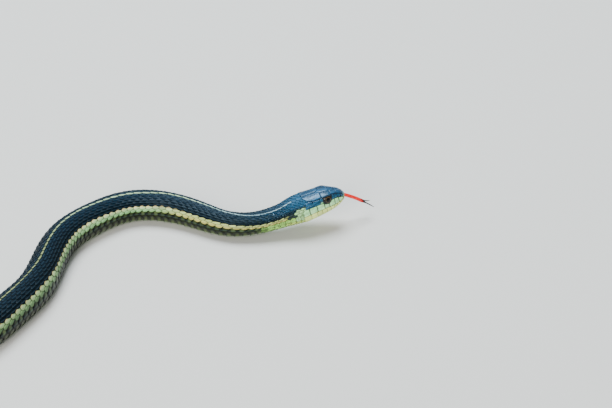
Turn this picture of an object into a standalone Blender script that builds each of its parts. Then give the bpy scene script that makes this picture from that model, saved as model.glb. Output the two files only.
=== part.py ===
"""A garter snake at life size, lying on the floor with its forebody drawn into an S.

The head is held just clear of the floor and the tongue is out. Everything is in metres with +Z up,
and the floor is z = 0. The head points towards +X, and the origin is on the floor at the middle of
the snake's outline seen from above. Distances along the snake run from the snout back to the tail
tip, and are named "back". Tables are in millimetres, and MM turns them into metres.
"""

import math

import bmesh
import bpy
import numpy as np
from mathutils import Matrix, Vector

MM = 0.001

# Driving dimensions, in millimetres
TOTAL_LENGTH = 600.0
NAPE = 26.0  # where the head ends and the neck begins
VENT = 460.0  # where the trunk ends and the tail begins
GAP = 0.3  # the clearance between two pieces that meet
NECK_LIFTS_AT = 64.0  # in front of here the belly leaves the floor
HEAD_PITCH = math.radians(11.0)

WELD = 0.002  # points this close after a union or a cut are one

# The number of belly scutes under each length of the body, fewer where it bends more sharply
TRUNK_SCUTES = {
    "neck": 14,
    "forebody_1": 9, "forebody_2": 13, "forebody_3": 17, "forebody_4": 11,
    "midbody_1": 8, "midbody_2": 11, "midbody_3": 17, "midbody_4": 10, "midbody_5": 9,
    "hindbody_1": 8, "hindbody_2": 12, "hindbody_3": 11,
}
TAIL_SCUTES = {"tail_1": 14, "tail_2": 12, "tail_3": 15, "tail_4": 27}

# The middle of the snake on the floor, from the snout back to the tail tip
WAYPOINTS = (
    (167.0, 43.3), (144.6, 33.8), (130.0, 30.4), (122.0, 31.2), (109.8, 37.5),
    (98.2, 42.7), (86.5, 44.1), (78.4, 41.7), (71.0, 36.4), (58.4, 21.2),
    (53.9, 5.9), (49.5, -14.2), (42.2, -28.5), (30.0, -46.0), (12.0, -55.0),
    (-8.0, -48.0), (-19.0, -29.0), (-22.0, -5.0), (-24.0, 19.0), (-32.0, 41.0),
    (-51.0, 54.0), (-74.0, 51.0), (-88.0, 33.0), (-91.0, 9.0), (-93.0, -15.0),
    (-103.0, -37.0), (-123.0, -49.0), (-143.0, -43.0), (-154.0, -25.0),
    (-161.0, -4.0), (-171.0, 15.0), (-188.0, 30.0),
)

# Back from the snout, half width, height of the crown, height of the chin or belly
GIRTH = (
    (0.0, 1.1, 5.0, 3.0),
    (0.4, 2.0, 5.7, 2.4),
    (1.1, 2.7, 6.4, 1.9),
    (2.2, 3.3, 7.1, 1.4),
    (4.2, 4.0, 8.0, 0.85),
    (6.8, 4.65, 8.8, 0.5),
    (9.4, 5.15, 9.1, 0.3),
    (12.5, 5.65, 9.2, 0.15),
    (16.0, 6.1, 9.2, 0.05),
    (19.0, 6.25, 9.1, 0.0),
    (22.0, 5.8, 8.85, 0.0),
    (26.0, 4.95, 8.4, 0.0),
    (35.0, 4.65, 8.2, 0.0),
    (46.0, 5.0, 9.0, 0.0),
    (60.0, 5.7, 10.2, 0.0),
    (80.0, 6.2, 11.2, 0.0),
    (105.0, 6.45, 11.7, 0.0),
    (130.0, 6.7, 12.1, 0.0),
    (160.0, 7.0, 12.6, 0.0),
    (190.0, 7.4, 13.3, 0.0),
    (230.0, 7.8, 14.0, 0.0),
    (290.0, 8.1, 14.5, 0.0),
    (350.0, 7.8, 14.0, 0.0),
    (400.0, 6.9, 12.6, 0.0),
    (440.0, 5.7, 10.6, 0.0),
    (460.0, 5.1, 9.6, 0.0),
    (475.0, 4.6, 8.8, 0.0),
    (500.0, 3.85, 7.4, 0.0),
    (530.0, 2.95, 5.7, 0.0),
    (560.0, 1.95, 3.8, 0.0),
    (585.0, 0.95, 1.9, 0.0),
    (600.0, 0.35, 0.7, 0.0),
)

# Back from the snout, roundness of the section (2 is an ellipse), height of the widest place as a
# share of the section's height, and how far the round belly would reach below its flat, as a share
SHAPE = (
    (0.0, 2.3, 0.42, 0.0),
    (2.2, 2.6, 0.40, 0.0),
    (6.8, 2.9, 0.36, 0.01),
    (12.5, 2.9, 0.38, 0.02),
    (19.0, 2.7, 0.42, 0.04),
    (26.0, 2.3, 0.45, 0.07),
    (45.0, 2.05, 0.46, 0.10),
    (300.0, 2.05, 0.46, 0.10),
    (460.0, 2.05, 0.47, 0.09),
    (600.0, 2.05, 0.48, 0.08),
)

# The line of the mouth, seen from the side: back from the snout, height above the chin line
MOUTH = ((-1.5, 3.7), (0.0, 3.6), (2.0, 3.3), (5.0, 3.0), (8.5, 2.9), (13.0, 3.0), (17.0, 3.3), (20.0, 3.9))
JAW_END_LOW = (22.4, -1.5)  # the cut behind the jaw runs from the mouth's corner down to here

# The brow stands out over the eye: how far, its place, and its reach both ways
BROW_STANDS_OUT = 0.5
BROW_BACK = 7.0
BROW_DEGREES = 46.0
BROW_REACH = (2.6, 15.0)

EYE_BACK = 7.2
EYE_HEIGHT = 6.1  # above the chin line
EYE_RADIUS = 2.0
EYE_THICK = 1.2  # half the thickness of the lens-shaped eyeball
EYE_SUNK = 0.45  # from the skin in to the middle of the eyeball
EYE_FORWARD = math.radians(12.0)
EYE_UP = math.radians(14.0)

NOSTRIL_BACK = 2.0
NOSTRIL_HEIGHT = 5.1
NOSTRIL_RADIUS = 0.32
NOSTRIL_DEPTH = 0.8
NOSTRIL_FORWARD = 0.6  # how much it opens forward for each unit out
NOSTRIL_FLARE = (0.6, 1.4)  # the radius at its floor and at its mouth, as shares

# The tongue's middle line: forward of the snout, height above the chin line
TONGUE_LINE = ((-3.4, 3.2), (-1.0, 3.6), (0.7, 3.75), (2.4, 3.15), (4.0, 1.85), (5.6, 0.15), (7.1, -1.7))
TONGUE_WIDE = 1.15
TONGUE_THICK = 0.75
TONGUE_SIDES = 10
TINE_LINE = ((-0.5, 0.0), (1.3, 0.45), (2.7, 1.2), (3.9, 2.2))  # forward of the fork, out to the side
TINE_DROP = 1.05  # how far a tine goes down for each unit forward
TINE_RADII = (0.3, 0.3, 0.26, 0.14)
TINE_SIDES = 8
TINE_ROOT_OUT = 0.26  # from the middle of the fork

# The belly scutes: each slopes out from its sunken front edge and ends in a step in to the next
SCUTE_EDGE = 104  # degrees down from the crown
SCUTE_SUNK = 0.32
SCUTE_SLOPE = 0.75
SCUTE_STEP = 0.2
SCUTE_SUNK_MOST = 0.11  # of the half width, where the tail is thin
SCUTE_SLOPE_MOST = 0.4  # of the scute's own length
TAIL_SCUTES_PER_PLATE = 2

# The shields of the head: how far they stand out, and how deep they are rooted
SHIELD_RAISED = 0.2
SHIELD_CROWNED = 0.09
SHIELD_ROOT = 0.55
SHIELD_SEAM = 0.19  # half the groove between two shields
SHIELD_CORNER = 1.4  # a corner lies this much farther in than a side does
SHIELD_INSET_MOST = 0.4
LONGEST_SIDE = 1.9  # a longer side of a shield gets a point more, to follow the head

# The corners of the shields on the left: back from the snout, then out from the middle of the crown
CROWN_SHIELDS = (
    ((1.2, 0.0), (1.5, 1.6), (3.1, 2.1), (3.6, 0.0)),  # internasal
    ((3.6, 0.0), (3.1, 2.1), (4.3, 3.2), (5.4, 2.9), (5.7, 1.4), (5.5, 0.0)),  # prefrontal
    ((5.7, 1.4), (5.4, 2.9), (6.4, 4.1), (8.8, 4.4), (10.1, 3.6), (9.4, 1.2)),  # supraocular
    ((10.6, 0.0), (9.4, 1.2), (10.1, 3.6), (12.2, 4.5), (15.2, 3.8), (17.0, 1.3), (16.4, 0.0)),  # parietal
)
FRONTAL_SHIELD = ((5.5, 0.0), (5.7, 1.4), (9.4, 1.2), (10.6, 0.0), (9.4, -1.2), (5.7, -1.4))

# Back from the snout, then the height above the chin line
SIDE_SHIELDS = (
    ((0.9, 4.4), (1.2, 6.0), (3.1, 6.9), (3.1, 4.6)),  # nasal
    ((3.1, 4.6), (3.1, 6.9), (4.6, 7.4), (4.6, 4.7)),  # loreal
    ((4.6, 4.7), (4.6, 7.4), (5.6, 7.7), (5.6, 4.7)),  # preocular
    ((9.3, 6.6), (9.3, 8.1), (10.5, 7.9), (10.5, 6.5)),  # upper postocular
    ((9.3, 5.1), (9.3, 6.6), (10.5, 6.5), (10.5, 5.4)),  # lower postocular
    ((10.5, 5.4), (10.5, 7.7), (13.6, 7.6), (13.6, 5.8)),  # front temporal
    ((13.6, 6.7), (13.6, 7.6), (15.4, 8.1), (17.0, 7.7), (16.8, 6.7)),  # upper rear temporal
    ((13.6, 5.8), (13.6, 6.7), (16.8, 6.7), (16.6, 5.5)),  # lower rear temporal
)
UPPER_LIP_BACKS = (0.9, 2.9, 5.0, 7.2, 9.5, 12.5, 15.9, 19.0)
UPPER_LIP_TOPS = (4.4, 4.6, 4.1, 3.9, 5.2, 5.7, 5.3)
LOWER_LIP_BACKS = (1.1, 2.7, 4.5, 6.6, 9.0, 11.8, 15.0, 18.4)
LOWER_LIP_DEPTH = 0.8  # from the chin line up to the lower edge

# Back from the snout, then out from the middle of the chin
CHIN_SHIELDS = (
    ((2.6, 0.0), (2.5, 1.2), (5.0, 2.0), (7.8, 2.3), (8.4, 0.0)),
    ((8.4, 0.0), (7.8, 2.3), (13.2, 3.2), (14.4, 1.4), (12.8, 0.0)),
)

# How finely the solids are faceted
BACK_SIDES = (0, 28, 56, 82)  # degrees down from the crown, on each side
BELLY_SIDES = (SCUTE_EDGE, 126, 146)
HEAD_SIDES = (0, 20, 38, 54, 70, 86, 100, 118, 136, 158, 180)
HEAD_STATIONS = (0.0, 0.4, 1.1, 2.2, 3.4, 5.0, 7.0, 9.0, 11.0, 13.5, 16.0, 18.2, 20.6, 23.2, NAPE)


def smooth(table, column):
    """A smooth function through one column of a table, with no overshoot between its rows."""
    at = np.array([row[0] for row in table], float)
    value = np.array([row[column] for row in table], float)
    step = np.diff(at)
    slope = np.diff(value) / step
    tangent = np.zeros(len(at))
    tangent[0], tangent[-1] = slope[0], slope[-1]
    same_way = slope[:-1] * slope[1:] > 0
    weight_a = 2 * step[1:] + step[:-1]
    weight_b = step[1:] + 2 * step[:-1]
    with np.errstate(divide="ignore", invalid="ignore"):
        mean = (weight_a + weight_b) / (weight_a / slope[:-1] + weight_b / slope[1:])
    tangent[1:-1] = np.where(same_way, mean, 0.0)

    def evaluate(x):
        x = np.clip(x, at[0], at[-1])
        i = np.clip(np.searchsorted(at, x, side="right") - 1, 0, len(step) - 1)
        t = (x - at[i]) / step[i]
        return (
            value[i] * (1 + 2 * t) * (1 - t) ** 2
            + step[i] * tangent[i] * t * (1 - t) ** 2
            + value[i + 1] * t * t * (3 - 2 * t)
            + step[i] * tangent[i + 1] * t * t * (t - 1)
        )

    return evaluate


def natural_spline(points, samples):
    """Many places on the smoothest curve through a few points."""
    points = np.array(points, float)
    knots = np.concatenate([[0], np.cumsum(np.linalg.norm(np.diff(points, axis=0), axis=1))])
    step = np.diff(knots)
    count = len(points)
    matrix = np.eye(count)
    right = np.zeros_like(points)
    for i in range(1, count - 1):
        matrix[i, i - 1 : i + 2] = step[i - 1], 2 * (step[i - 1] + step[i]), step[i]
        after = (points[i + 1] - points[i]) / step[i]
        before = (points[i] - points[i - 1]) / step[i - 1]
        right[i] = 6 * (after - before)
    bend = np.linalg.solve(matrix, right)
    at = np.linspace(0, knots[-1], samples)
    i = np.clip(np.searchsorted(knots, at, side="right") - 1, 0, count - 2)
    a = ((knots[i + 1] - at) / step[i])[:, None]
    b = 1 - a
    width = step[i][:, None]
    arch = ((a**3 - a) * bend[i] + (b**3 - b) * bend[i + 1]) * width**2 / 6
    return a * points[i] + b * points[i + 1] + arch


half_width = smooth(GIRTH, 1)
crown = smooth(GIRTH, 2)
chin = smooth(GIRTH, 3)
roundness = smooth(SHAPE, 1)
widest_share = smooth(SHAPE, 2)
belly_share = smooth(SHAPE, 3)
mouth_height = smooth(MOUTH, 1)

floor_line = natural_spline(WAYPOINTS, 4000)
floor_back = np.concatenate([[0], np.cumsum(np.linalg.norm(np.diff(floor_line, axis=0), axis=1))])
lift_length = NECK_LIFTS_AT - NAPE
lift_rate = math.tan(HEAD_PITCH) / (2 * lift_length)


def floor_place(back):
    """The point on the floor under the middle of the snake, and the way forward there."""
    ahead, behind = (
        np.array([np.interp(at, floor_back, floor_line[:, i]) for i in (0, 1)])
        for at in (back - 0.5, back + 0.5)
    )
    forward = (ahead - behind) / np.linalg.norm(ahead - behind)
    return (ahead + behind) / 2, forward


def frame_at(back):
    """The belly point of the snake's section at a distance back from the snout, with the section's
    forward, left and up directions. The head is straight, so in front of the nape the line runs on."""
    place, forward = floor_place(max(back, NAPE))
    lifted = max(0.0, NECK_LIFTS_AT - max(back, NAPE))
    height = lift_rate * lifted**2
    pitch = math.atan(2 * lift_rate * lifted)
    ahead = Vector((forward[0] * math.cos(pitch), forward[1] * math.cos(pitch), math.sin(pitch)))
    left = Vector((-forward[1], forward[0], 0.0))
    up = ahead.cross(left)
    belly = Vector((place[0], place[1], height)) + ahead * max(0.0, NAPE - back)
    return belly, ahead, left, up


def outline_point(back, degrees, raised=0.0):
    """A point of the section's outline: how far to the left and how high. The angle runs from the
    crown, 0, over the left flank to the belly, 180, or over the right one when it is negative."""
    wide, top, low = half_width(back), crown(back), chin(back)
    power = 2.0 / roundness(back)
    middle = low + widest_share(back) * (top - low)
    under = middle - low + belly_share(back) * (top - low)
    sine, cosine = math.sin(math.radians(degrees)), math.cos(math.radians(degrees))
    across = math.copysign(abs(sine) ** power, sine) * wide
    share = math.copysign(abs(cosine) ** power, cosine)
    high = max(low, middle + share * ((top - middle) if share > 0 else under))
    away = (back - BROW_BACK) / BROW_REACH[0]
    aside = (abs(degrees) - BROW_DEGREES) / BROW_REACH[1]
    raised += BROW_STANDS_OUT * math.exp(-(away**2) - aside**2)
    return across + raised * sine, high + raised * cosine


def degrees_over(back, across):
    """The angle of a point of the crown from how far out it is."""
    share = min(1.0, abs(across) / half_width(back))
    return math.copysign(math.degrees(math.asin(share ** (roundness(back) / 2))), across)


def degrees_under(back, across):
    """The angle of a point of the chin or belly from how far out it is."""
    over = degrees_over(back, across)
    return math.copysign(180.0 - abs(over), across)


def degrees_beside(back, high):
    """The angle of a point of the left side from its height."""
    top, low = crown(back), chin(back)
    middle = low + widest_share(back) * (top - low)
    under = middle - low + belly_share(back) * (top - low)
    span = (top - middle) if high > middle else under
    share = min(1.0, abs(high - middle) / span) ** (roundness(back) / 2)
    return math.degrees(math.acos(math.copysign(share, high - middle)))


def on_skin(back, degrees, raised=0.0):
    """A point of the skin in space, in metres."""
    belly, _, left, up = frame_at(back)
    across, high = outline_point(back, degrees, raised)
    return (belly + left * across + up * high) * MM


def in_head(back, across, high):
    """A point given in the head's own directions, in metres."""
    belly, _, left, up = frame_at(back)
    return (belly + left * across + up * high) * MM


def both_sides(degrees):
    """The angles of a whole ring from those of its left side."""
    return [*degrees, *(-d for d in reversed(degrees) if d not in (0, 180))]


def loft(name, rings):
    """A closed mesh from rings of points, all with as many points, the first one at the front."""
    bm = bmesh.new()
    loops = [[bm.verts.new(point) for point in ring] for ring in rings]
    for front, rear in zip(loops, loops[1:]):
        for i in range(len(front)):
            j = (i + 1) % len(front)
            bm.faces.new((front[i], front[j], rear[j], rear[i]))
    bm.faces.new(loops[0])
    bm.faces.new(loops[-1])
    return new_object(name, bm)


def new_object(name, bm):
    """An object with this bmesh as its mesh, all of it in flat triangles and facing out."""
    bmesh.ops.triangulate(bm, faces=bm.faces)
    bmesh.ops.recalc_face_normals(bm, faces=bm.faces)
    mesh = bpy.data.meshes.new(name)
    bm.to_mesh(mesh)
    bm.free()
    made = bpy.data.objects.new(name, mesh)
    snake.objects.link(made)
    return made


def combine(target, others, operation):
    """Joins or cuts the target by all the others at once, and removes them."""
    tools = bpy.data.collections.new("tools")
    cutters.children.link(tools)
    for other in others:
        snake.objects.unlink(other)
        tools.objects.link(other)
    modifier = target.modifiers.new(operation.lower(), "BOOLEAN")
    modifier.operation = operation
    modifier.solver = "EXACT"
    modifier.operand_type = "COLLECTION"
    modifier.collection = tools
    graph = bpy.context.evaluated_depsgraph_get()
    shaped = bpy.data.meshes.new_from_object(target.evaluated_get(graph))
    target.modifiers.clear()
    bm = bmesh.new()
    bm.from_mesh(shaped)
    bmesh.ops.remove_doubles(bm, verts=bm.verts, dist=WELD * MM)
    bm.to_mesh(shaped)
    bm.free()
    target.data = shaped
    for other in others:
        bpy.data.objects.remove(other)
    bpy.data.collections.remove(tools)
    return target


def closed_surfaces(mesh):
    """The separate closed surfaces of a mesh, each as a set of vertex numbers, the largest first."""
    bm = bmesh.new()
    bm.from_mesh(mesh)
    bm.verts.ensure_lookup_table()
    left_over = set(range(len(bm.verts)))
    found = []
    while left_over:
        reached = {left_over.pop()}
        edge_of_reach = list(reached)
        while edge_of_reach:
            vertex = bm.verts[edge_of_reach.pop()]
            for edge in vertex.link_edges:
                other = edge.other_vert(vertex).index
                if other in left_over:
                    left_over.remove(other)
                    reached.add(other)
                    edge_of_reach.append(other)
        found.append(reached)
    bm.free()
    return sorted(found, key=len, reverse=True)


def keep_surface(mesh, wanted):
    """A copy of the mesh with one of its closed surfaces."""
    bm = bmesh.new()
    bm.from_mesh(mesh)
    unwanted = [v for v in bm.verts if v.index not in wanted]
    bmesh.ops.delete(bm, geom=unwanted, context="VERTS")
    return bm


def ring_at(back, sides):
    return [on_skin(back, degrees) for degrees in both_sides(sides)]


def mouth_cutter():
    """A thin bent sheet, as wide as the head and more, along the mouth and down behind the jaw."""
    line = [*MOUTH, JAW_END_LOW]
    half = GAP / 2
    beyond = 8.0
    rings = []
    for i, (back, high) in enumerate(line):
        before = Vector(line[max(i - 1, 0)])
        after = Vector(line[min(i + 1, len(line) - 1)])
        along = (after - before).normalized()
        normal = Vector((-along.y, along.x)) * half
        upper = (back + normal.x, high + normal.y)
        lower = (back - normal.x, high - normal.y)
        rings.append(
            [
                in_head(upper[0], beyond, upper[1]),
                in_head(upper[0], -beyond, upper[1]),
                in_head(lower[0], -beyond, lower[1]),
                in_head(lower[0], beyond, lower[1]),
            ]
        )
    return loft("mouth_cutter", rings)


def eye_matrix(side):
    """The place and directions of an eyeball, whose thin way is its own Z."""
    section_belly, ahead, left, up = frame_at(EYE_BACK)
    outward = left * side
    facing = outward * math.cos(EYE_FORWARD) + ahead * math.sin(EYE_FORWARD)
    facing = (facing * math.cos(EYE_UP) + up * math.sin(EYE_UP)).normalized()
    across = eye_wall(EYE_BACK, EYE_HEIGHT) * side
    middle = section_belly + left * across + up * EYE_HEIGHT - facing * EYE_SUNK
    back_way = up.cross(facing).normalized()
    turn = Matrix((back_way, facing.cross(back_way), facing)).transposed().to_4x4()
    return Matrix.Translation(middle * MM) @ turn


def eye_wall(back, high):
    """How far out the skin is at a height of the head's side."""
    top, low = crown(back), chin(back)
    middle = low + widest_share(back) * (top - low)
    share = (high - middle) / (top - middle)
    return half_width(back) * (1 - share ** roundness(back)) ** (1 / roundness(back))


def eyeball(name, side, grown):
    """A lens-shaped ball set in the side of the head, grown by a clearance for its socket."""
    bm = bmesh.new()
    bmesh.ops.create_uvsphere(bm, u_segments=16, v_segments=10, radius=1.0)
    radius, thick = (EYE_RADIUS + grown) * MM, (EYE_THICK + grown) * MM
    bmesh.ops.scale(bm, vec=(radius, radius, thick), verts=bm.verts)
    bmesh.ops.transform(bm, matrix=eye_matrix(side), verts=bm.verts)
    return new_object(name, bm)


def nostril_cutter(side):
    """A short cone that leaves a nostril in the side of the snout."""
    belly, ahead, left, up = frame_at(NOSTRIL_BACK)
    across = eye_wall(NOSTRIL_BACK, NOSTRIL_HEIGHT) * side
    outward = (left * side + ahead * NOSTRIL_FORWARD).normalized()
    middle = belly + left * across + up * NOSTRIL_HEIGHT
    turn = outward.to_track_quat("Z", "Y").to_matrix().to_4x4()
    floor_radius, mouth_radius = (share * NOSTRIL_RADIUS * MM for share in NOSTRIL_FLARE)
    bm = bmesh.new()
    bmesh.ops.create_cone(
        bm, cap_ends=True, segments=8, depth=2 * NOSTRIL_DEPTH * MM,
        radius1=floor_radius, radius2=mouth_radius,
    )
    bmesh.ops.transform(bm, matrix=Matrix.Translation(middle * MM) @ turn, verts=bm.verts)
    return new_object("nostril_cutter", bm)


def tube_rings(line, wide, thick, sides):
    """Oval rings along a line of (back, across, high) points in the head's directions."""
    rings = []
    points = [Vector(p) for p in line]
    for i, point in enumerate(points):
        along = (points[min(i + 1, len(points) - 1)] - points[max(i - 1, 0)]).normalized()
        sideways = Vector((0, 1, 0))
        sideways = (sideways - along * along.dot(sideways)).normalized()
        upward = along.cross(sideways)
        ring = []
        for k in range(sides):
            turn = 2 * math.pi * k / sides
            offset = sideways * wide[i] * math.cos(turn) + upward * thick[i] * math.sin(turn)
            ring.append(in_head(*(point + offset)))
        rings.append(ring)
    return rings


def tongue_stem(name, grown, line):
    count = len(line)
    wide = [TONGUE_WIDE / 2 + grown] * count
    thick = [TONGUE_THICK / 2 + grown] * count
    return loft(name, tube_rings([(-forward, 0, high) for forward, high in line], wide, thick, TONGUE_SIDES))


def tongue():
    """The stem of the tongue with its two tines, which droop and spread."""
    stem = tongue_stem("tongue", 0.0, TONGUE_LINE)
    fork_forward, fork_high = TONGUE_LINE[-1]
    tines = []
    for side in (1, -1):
        line = [
            (-(fork_forward + ahead), side * (TINE_ROOT_OUT + out), fork_high - TINE_DROP * ahead)
            for ahead, out in TINE_LINE
        ]
        tines.append(loft("tine", tube_rings(line, TINE_RADII, TINE_RADII, TINE_SIDES)))
    return combine(stem, tines, "UNION")


def tongue_channel():
    """The way that the tongue takes out of the mouth, with clearance all round."""
    (start, high), *rest = TONGUE_LINE
    line = [(start - GAP, high), *rest[:3]]
    return tongue_stem("tongue_channel", GAP, line)


def shield(corners):
    """A plate set in the skin of the head, from its corners as (back, degrees)."""
    outline = []
    for (back, degrees), (next_back, next_degrees) in zip(corners, corners[1:] + corners[:1]):
        outline.append((back, degrees))
        side = on_skin(next_back, next_degrees) - on_skin(back, degrees)
        if side.length > LONGEST_SIDE * MM:
            outline.append(((back + next_back) / 2, (degrees + next_degrees) / 2))
    middle_back = sum(back for back, _ in outline) / len(outline)
    middle_degrees = sum(degrees for _, degrees in outline) / len(outline)
    middle = on_skin(middle_back, middle_degrees)
    inset = []
    for back, degrees in outline:
        share = SHIELD_SEAM * MM / (on_skin(back, degrees) - middle).length
        share = min(SHIELD_INSET_MOST, SHIELD_CORNER * share)
        inset.append((back + share * (middle_back - back), degrees + share * (middle_degrees - degrees)))
    bm = bmesh.new()
    top = [bm.verts.new(on_skin(*place, SHIELD_RAISED)) for place in inset]
    root = [bm.verts.new(on_skin(*place, -SHIELD_ROOT)) for place in inset]
    crest = bm.verts.new(on_skin(middle_back, middle_degrees, SHIELD_RAISED + SHIELD_CROWNED))
    foot = bm.verts.new(on_skin(middle_back, middle_degrees, -SHIELD_ROOT))
    for i in range(len(top)):
        j = (i + 1) % len(top)
        bm.faces.new((crest, top[i], top[j]))
        bm.faces.new((top[i], root[i], root[j], top[j]))
        bm.faces.new((foot, root[j], root[i]))
    return new_object("shield", bm)


def shields_of_head():
    """Every shield of the crown, sides, lips and chin."""
    left = [[(back, degrees_over(back, out)) for back, out in corners] for corners in CROWN_SHIELDS]
    left += [[(back, degrees_beside(back, high)) for back, high in corners] for corners in SIDE_SHIELDS]
    left += [[(back, degrees_under(back, out)) for back, out in corners] for corners in CHIN_SHIELDS]
    half = GAP / 2
    for front, rear, high in zip(UPPER_LIP_BACKS, UPPER_LIP_BACKS[1:], UPPER_LIP_TOPS):
        corners = ((front, mouth_height(front) + half), (front, high), (rear, high), (rear, mouth_height(rear) + half))
        left.append([(back, degrees_beside(back, up)) for back, up in corners])
    for front, rear in zip(LOWER_LIP_BACKS, LOWER_LIP_BACKS[1:]):
        corners = (
            (front, mouth_height(front) - half), (front, chin(front) + LOWER_LIP_DEPTH),
            (rear, chin(rear) + LOWER_LIP_DEPTH), (rear, mouth_height(rear) - half),
        )
        left.append([(back, degrees_beside(back, up)) for back, up in corners])
    right = [[(back, -degrees) for back, degrees in corners] for corners in left]
    frontal = [(back, degrees_over(back, out)) for back, out in FRONTAL_SHIELD]
    return [shield(corners) for corners in [*left, *right, frontal]]


def head_and_jaw():
    """The head is lofted whole, gets its shields, and is parted by the thin cut of the mouth."""
    stations = [*HEAD_STATIONS[:-1], NAPE - GAP]
    head = loft("head", [ring_at(back, HEAD_SIDES) for back in stations])
    combine(head, shields_of_head(), "UNION")
    cuts = [mouth_cutter(), tongue_channel()]
    for side in (1, -1):
        cuts += [eyeball("socket", side, GAP), nostril_cutter(side)]
    combine(head, cuts, "DIFFERENCE")
    surfaces = closed_surfaces(head.data)
    jaw = new_object("lower_jaw", keep_surface(head.data, surfaces[1]))
    upper = keep_surface(head.data, surfaces[0])
    upper.to_mesh(head.data)
    upper.free()
    return head, jaw


def body_lengths():
    """Each length of neck, trunk and tail: its name, where it begins and ends, and its scutes."""
    lengths = []
    for counts, begin, end in ((TRUNK_SCUTES, NAPE, VENT), (TAIL_SCUTES, VENT, TOTAL_LENGTH)):
        pitch = (end - begin) / sum(counts.values())
        for name, count in counts.items():
            lengths.append((name, begin, begin + count * pitch, count))
            begin += count * pitch
    return lengths


def body_length(name, begin, end, scutes):
    """One length of the body, with its belly scutes, which ends short of the next by the gap."""
    tip = end > TOTAL_LENGTH - 1
    pitch = (end - begin) / scutes
    bm = bmesh.new()

    def points(back, sides, sunk=0.0):
        """A left or right to right or left run of points across the section."""
        return [bm.verts.new(on_skin(back, degrees, -sunk)) for degrees in sides]

    across_back = [-d for d in reversed(BACK_SIDES[1:])] + list(BACK_SIDES)
    across_belly = list(BELLY_SIDES) + [-d for d in reversed(BELLY_SIDES)]
    backs, bellies, first_of_scute = [], [], []
    for i in range(scutes):
        front = begin + i * pitch
        rear = front + pitch - SCUTE_STEP
        if i == scutes - 1:
            rear = end if tip else end - GAP
        sunk = min(SCUTE_SUNK, SCUTE_SUNK_MOST * half_width(front))
        backs.append(points(front, across_back))
        first_of_scute.append(len(bellies))
        bellies.append(points(front, across_belly, sunk))
        bellies.append(points(front + min(SCUTE_SLOPE, SCUTE_SLOPE_MOST * pitch), across_belly))
        bellies.append(points(rear, across_belly))
    backs.append(points(rear, across_back))
    first_of_scute.append(len(bellies) - 1)
    for front, rear in [*zip(backs, backs[1:]), *zip(bellies, bellies[1:])]:
        for i in range(len(front) - 1):
            bm.faces.new((front[i], front[i + 1], rear[i + 1], rear[i]))
    for i, (start, stop) in enumerate(zip(first_of_scute, first_of_scute[1:])):
        edge_left = [belly[0] for belly in bellies[start : stop + 1]]
        edge_right = [belly[-1] for belly in bellies[start : stop + 1]]
        bm.faces.new((backs[i][-1], *edge_left, backs[i + 1][-1]))
        bm.faces.new((backs[i][0], *edge_right, backs[i + 1][0]))
    bm.faces.new((*backs[0], *bellies[0]))
    bm.faces.new((*backs[-1], *bellies[-1]))
    return new_object(name, bm)


def material(name, colour, roughness):
    made = bpy.data.materials.new(name)
    made.use_nodes = True
    shader = made.node_tree.nodes["Principled BSDF"]
    shader.inputs["Base Color"].default_value = (*colour, 1.0)
    shader.inputs["Roughness"].default_value = roughness
    shader.inputs["Metallic"].default_value = 0.0
    return made


def paint(obj, finish):
    obj.data.materials.clear()
    obj.data.materials.append(finish)
    obj.data.shade_smooth()
    obj.data.set_sharp_from_angle(angle=math.radians(35))


for old in list(bpy.data.objects):
    bpy.data.objects.remove(old)
snake = bpy.data.collections.new("garter_snake")
cutters = bpy.data.collections.new("cutters")
for group in (snake, cutters):
    bpy.context.scene.collection.children.link(group)

crown_skin = material("crown_skin", (0.045, 0.11, 0.17), 0.35)
jaw_skin = material("jaw_skin", (0.44, 0.5, 0.27), 0.45)
body_skin = material("body_skin", (0.012, 0.03, 0.05), 0.4)
eye_surface = material("eye_surface", (0.01, 0.012, 0.014), 0.08)
tongue_flesh = material("tongue_flesh", (0.75, 0.05, 0.03), 0.3)

head_piece, jaw_piece = head_and_jaw()
paint(head_piece, crown_skin)
paint(jaw_piece, jaw_skin)
for eye_name, eye_side in (("eye_left", 1), ("eye_right", -1)):
    paint(eyeball(eye_name, eye_side, 0.0), eye_surface)
paint(tongue(), tongue_flesh)
for length_name, length_begin, length_end, scute_count in body_lengths():
    if length_name in TAIL_SCUTES:
        scute_count = math.ceil(scute_count / TAIL_SCUTES_PER_PLATE)
    paint(body_length(length_name, length_begin, length_end, scute_count), body_skin)
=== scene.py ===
# %% [markdown]
# # A garter snake at life size
# This lesson dresses a plain solid snake with its skin, scales, plates, eyes and tongue. A snake's
# coat is one long pattern that follows its back, so nearly every piece is drawn flat, in distances
# along the body and angles round it, and is then wrapped onto the body by one function.

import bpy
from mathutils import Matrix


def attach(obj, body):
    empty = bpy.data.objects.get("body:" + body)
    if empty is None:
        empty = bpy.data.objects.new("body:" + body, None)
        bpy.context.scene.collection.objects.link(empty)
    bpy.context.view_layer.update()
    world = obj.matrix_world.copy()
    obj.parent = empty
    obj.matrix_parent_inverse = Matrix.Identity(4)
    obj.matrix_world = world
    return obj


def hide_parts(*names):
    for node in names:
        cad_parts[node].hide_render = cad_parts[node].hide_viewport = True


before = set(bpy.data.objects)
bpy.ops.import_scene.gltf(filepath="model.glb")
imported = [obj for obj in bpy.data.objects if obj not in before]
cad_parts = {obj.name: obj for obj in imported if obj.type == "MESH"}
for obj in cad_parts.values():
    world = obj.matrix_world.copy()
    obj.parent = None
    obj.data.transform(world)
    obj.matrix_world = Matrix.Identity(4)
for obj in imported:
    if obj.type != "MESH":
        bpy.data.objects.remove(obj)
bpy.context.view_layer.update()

# %% Tools of Python and Blender
import math

import bmesh
import bpy
import numpy as np
from mathutils import Matrix, Vector

MM = 0.001
chance = np.random.default_rng(11)

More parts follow.
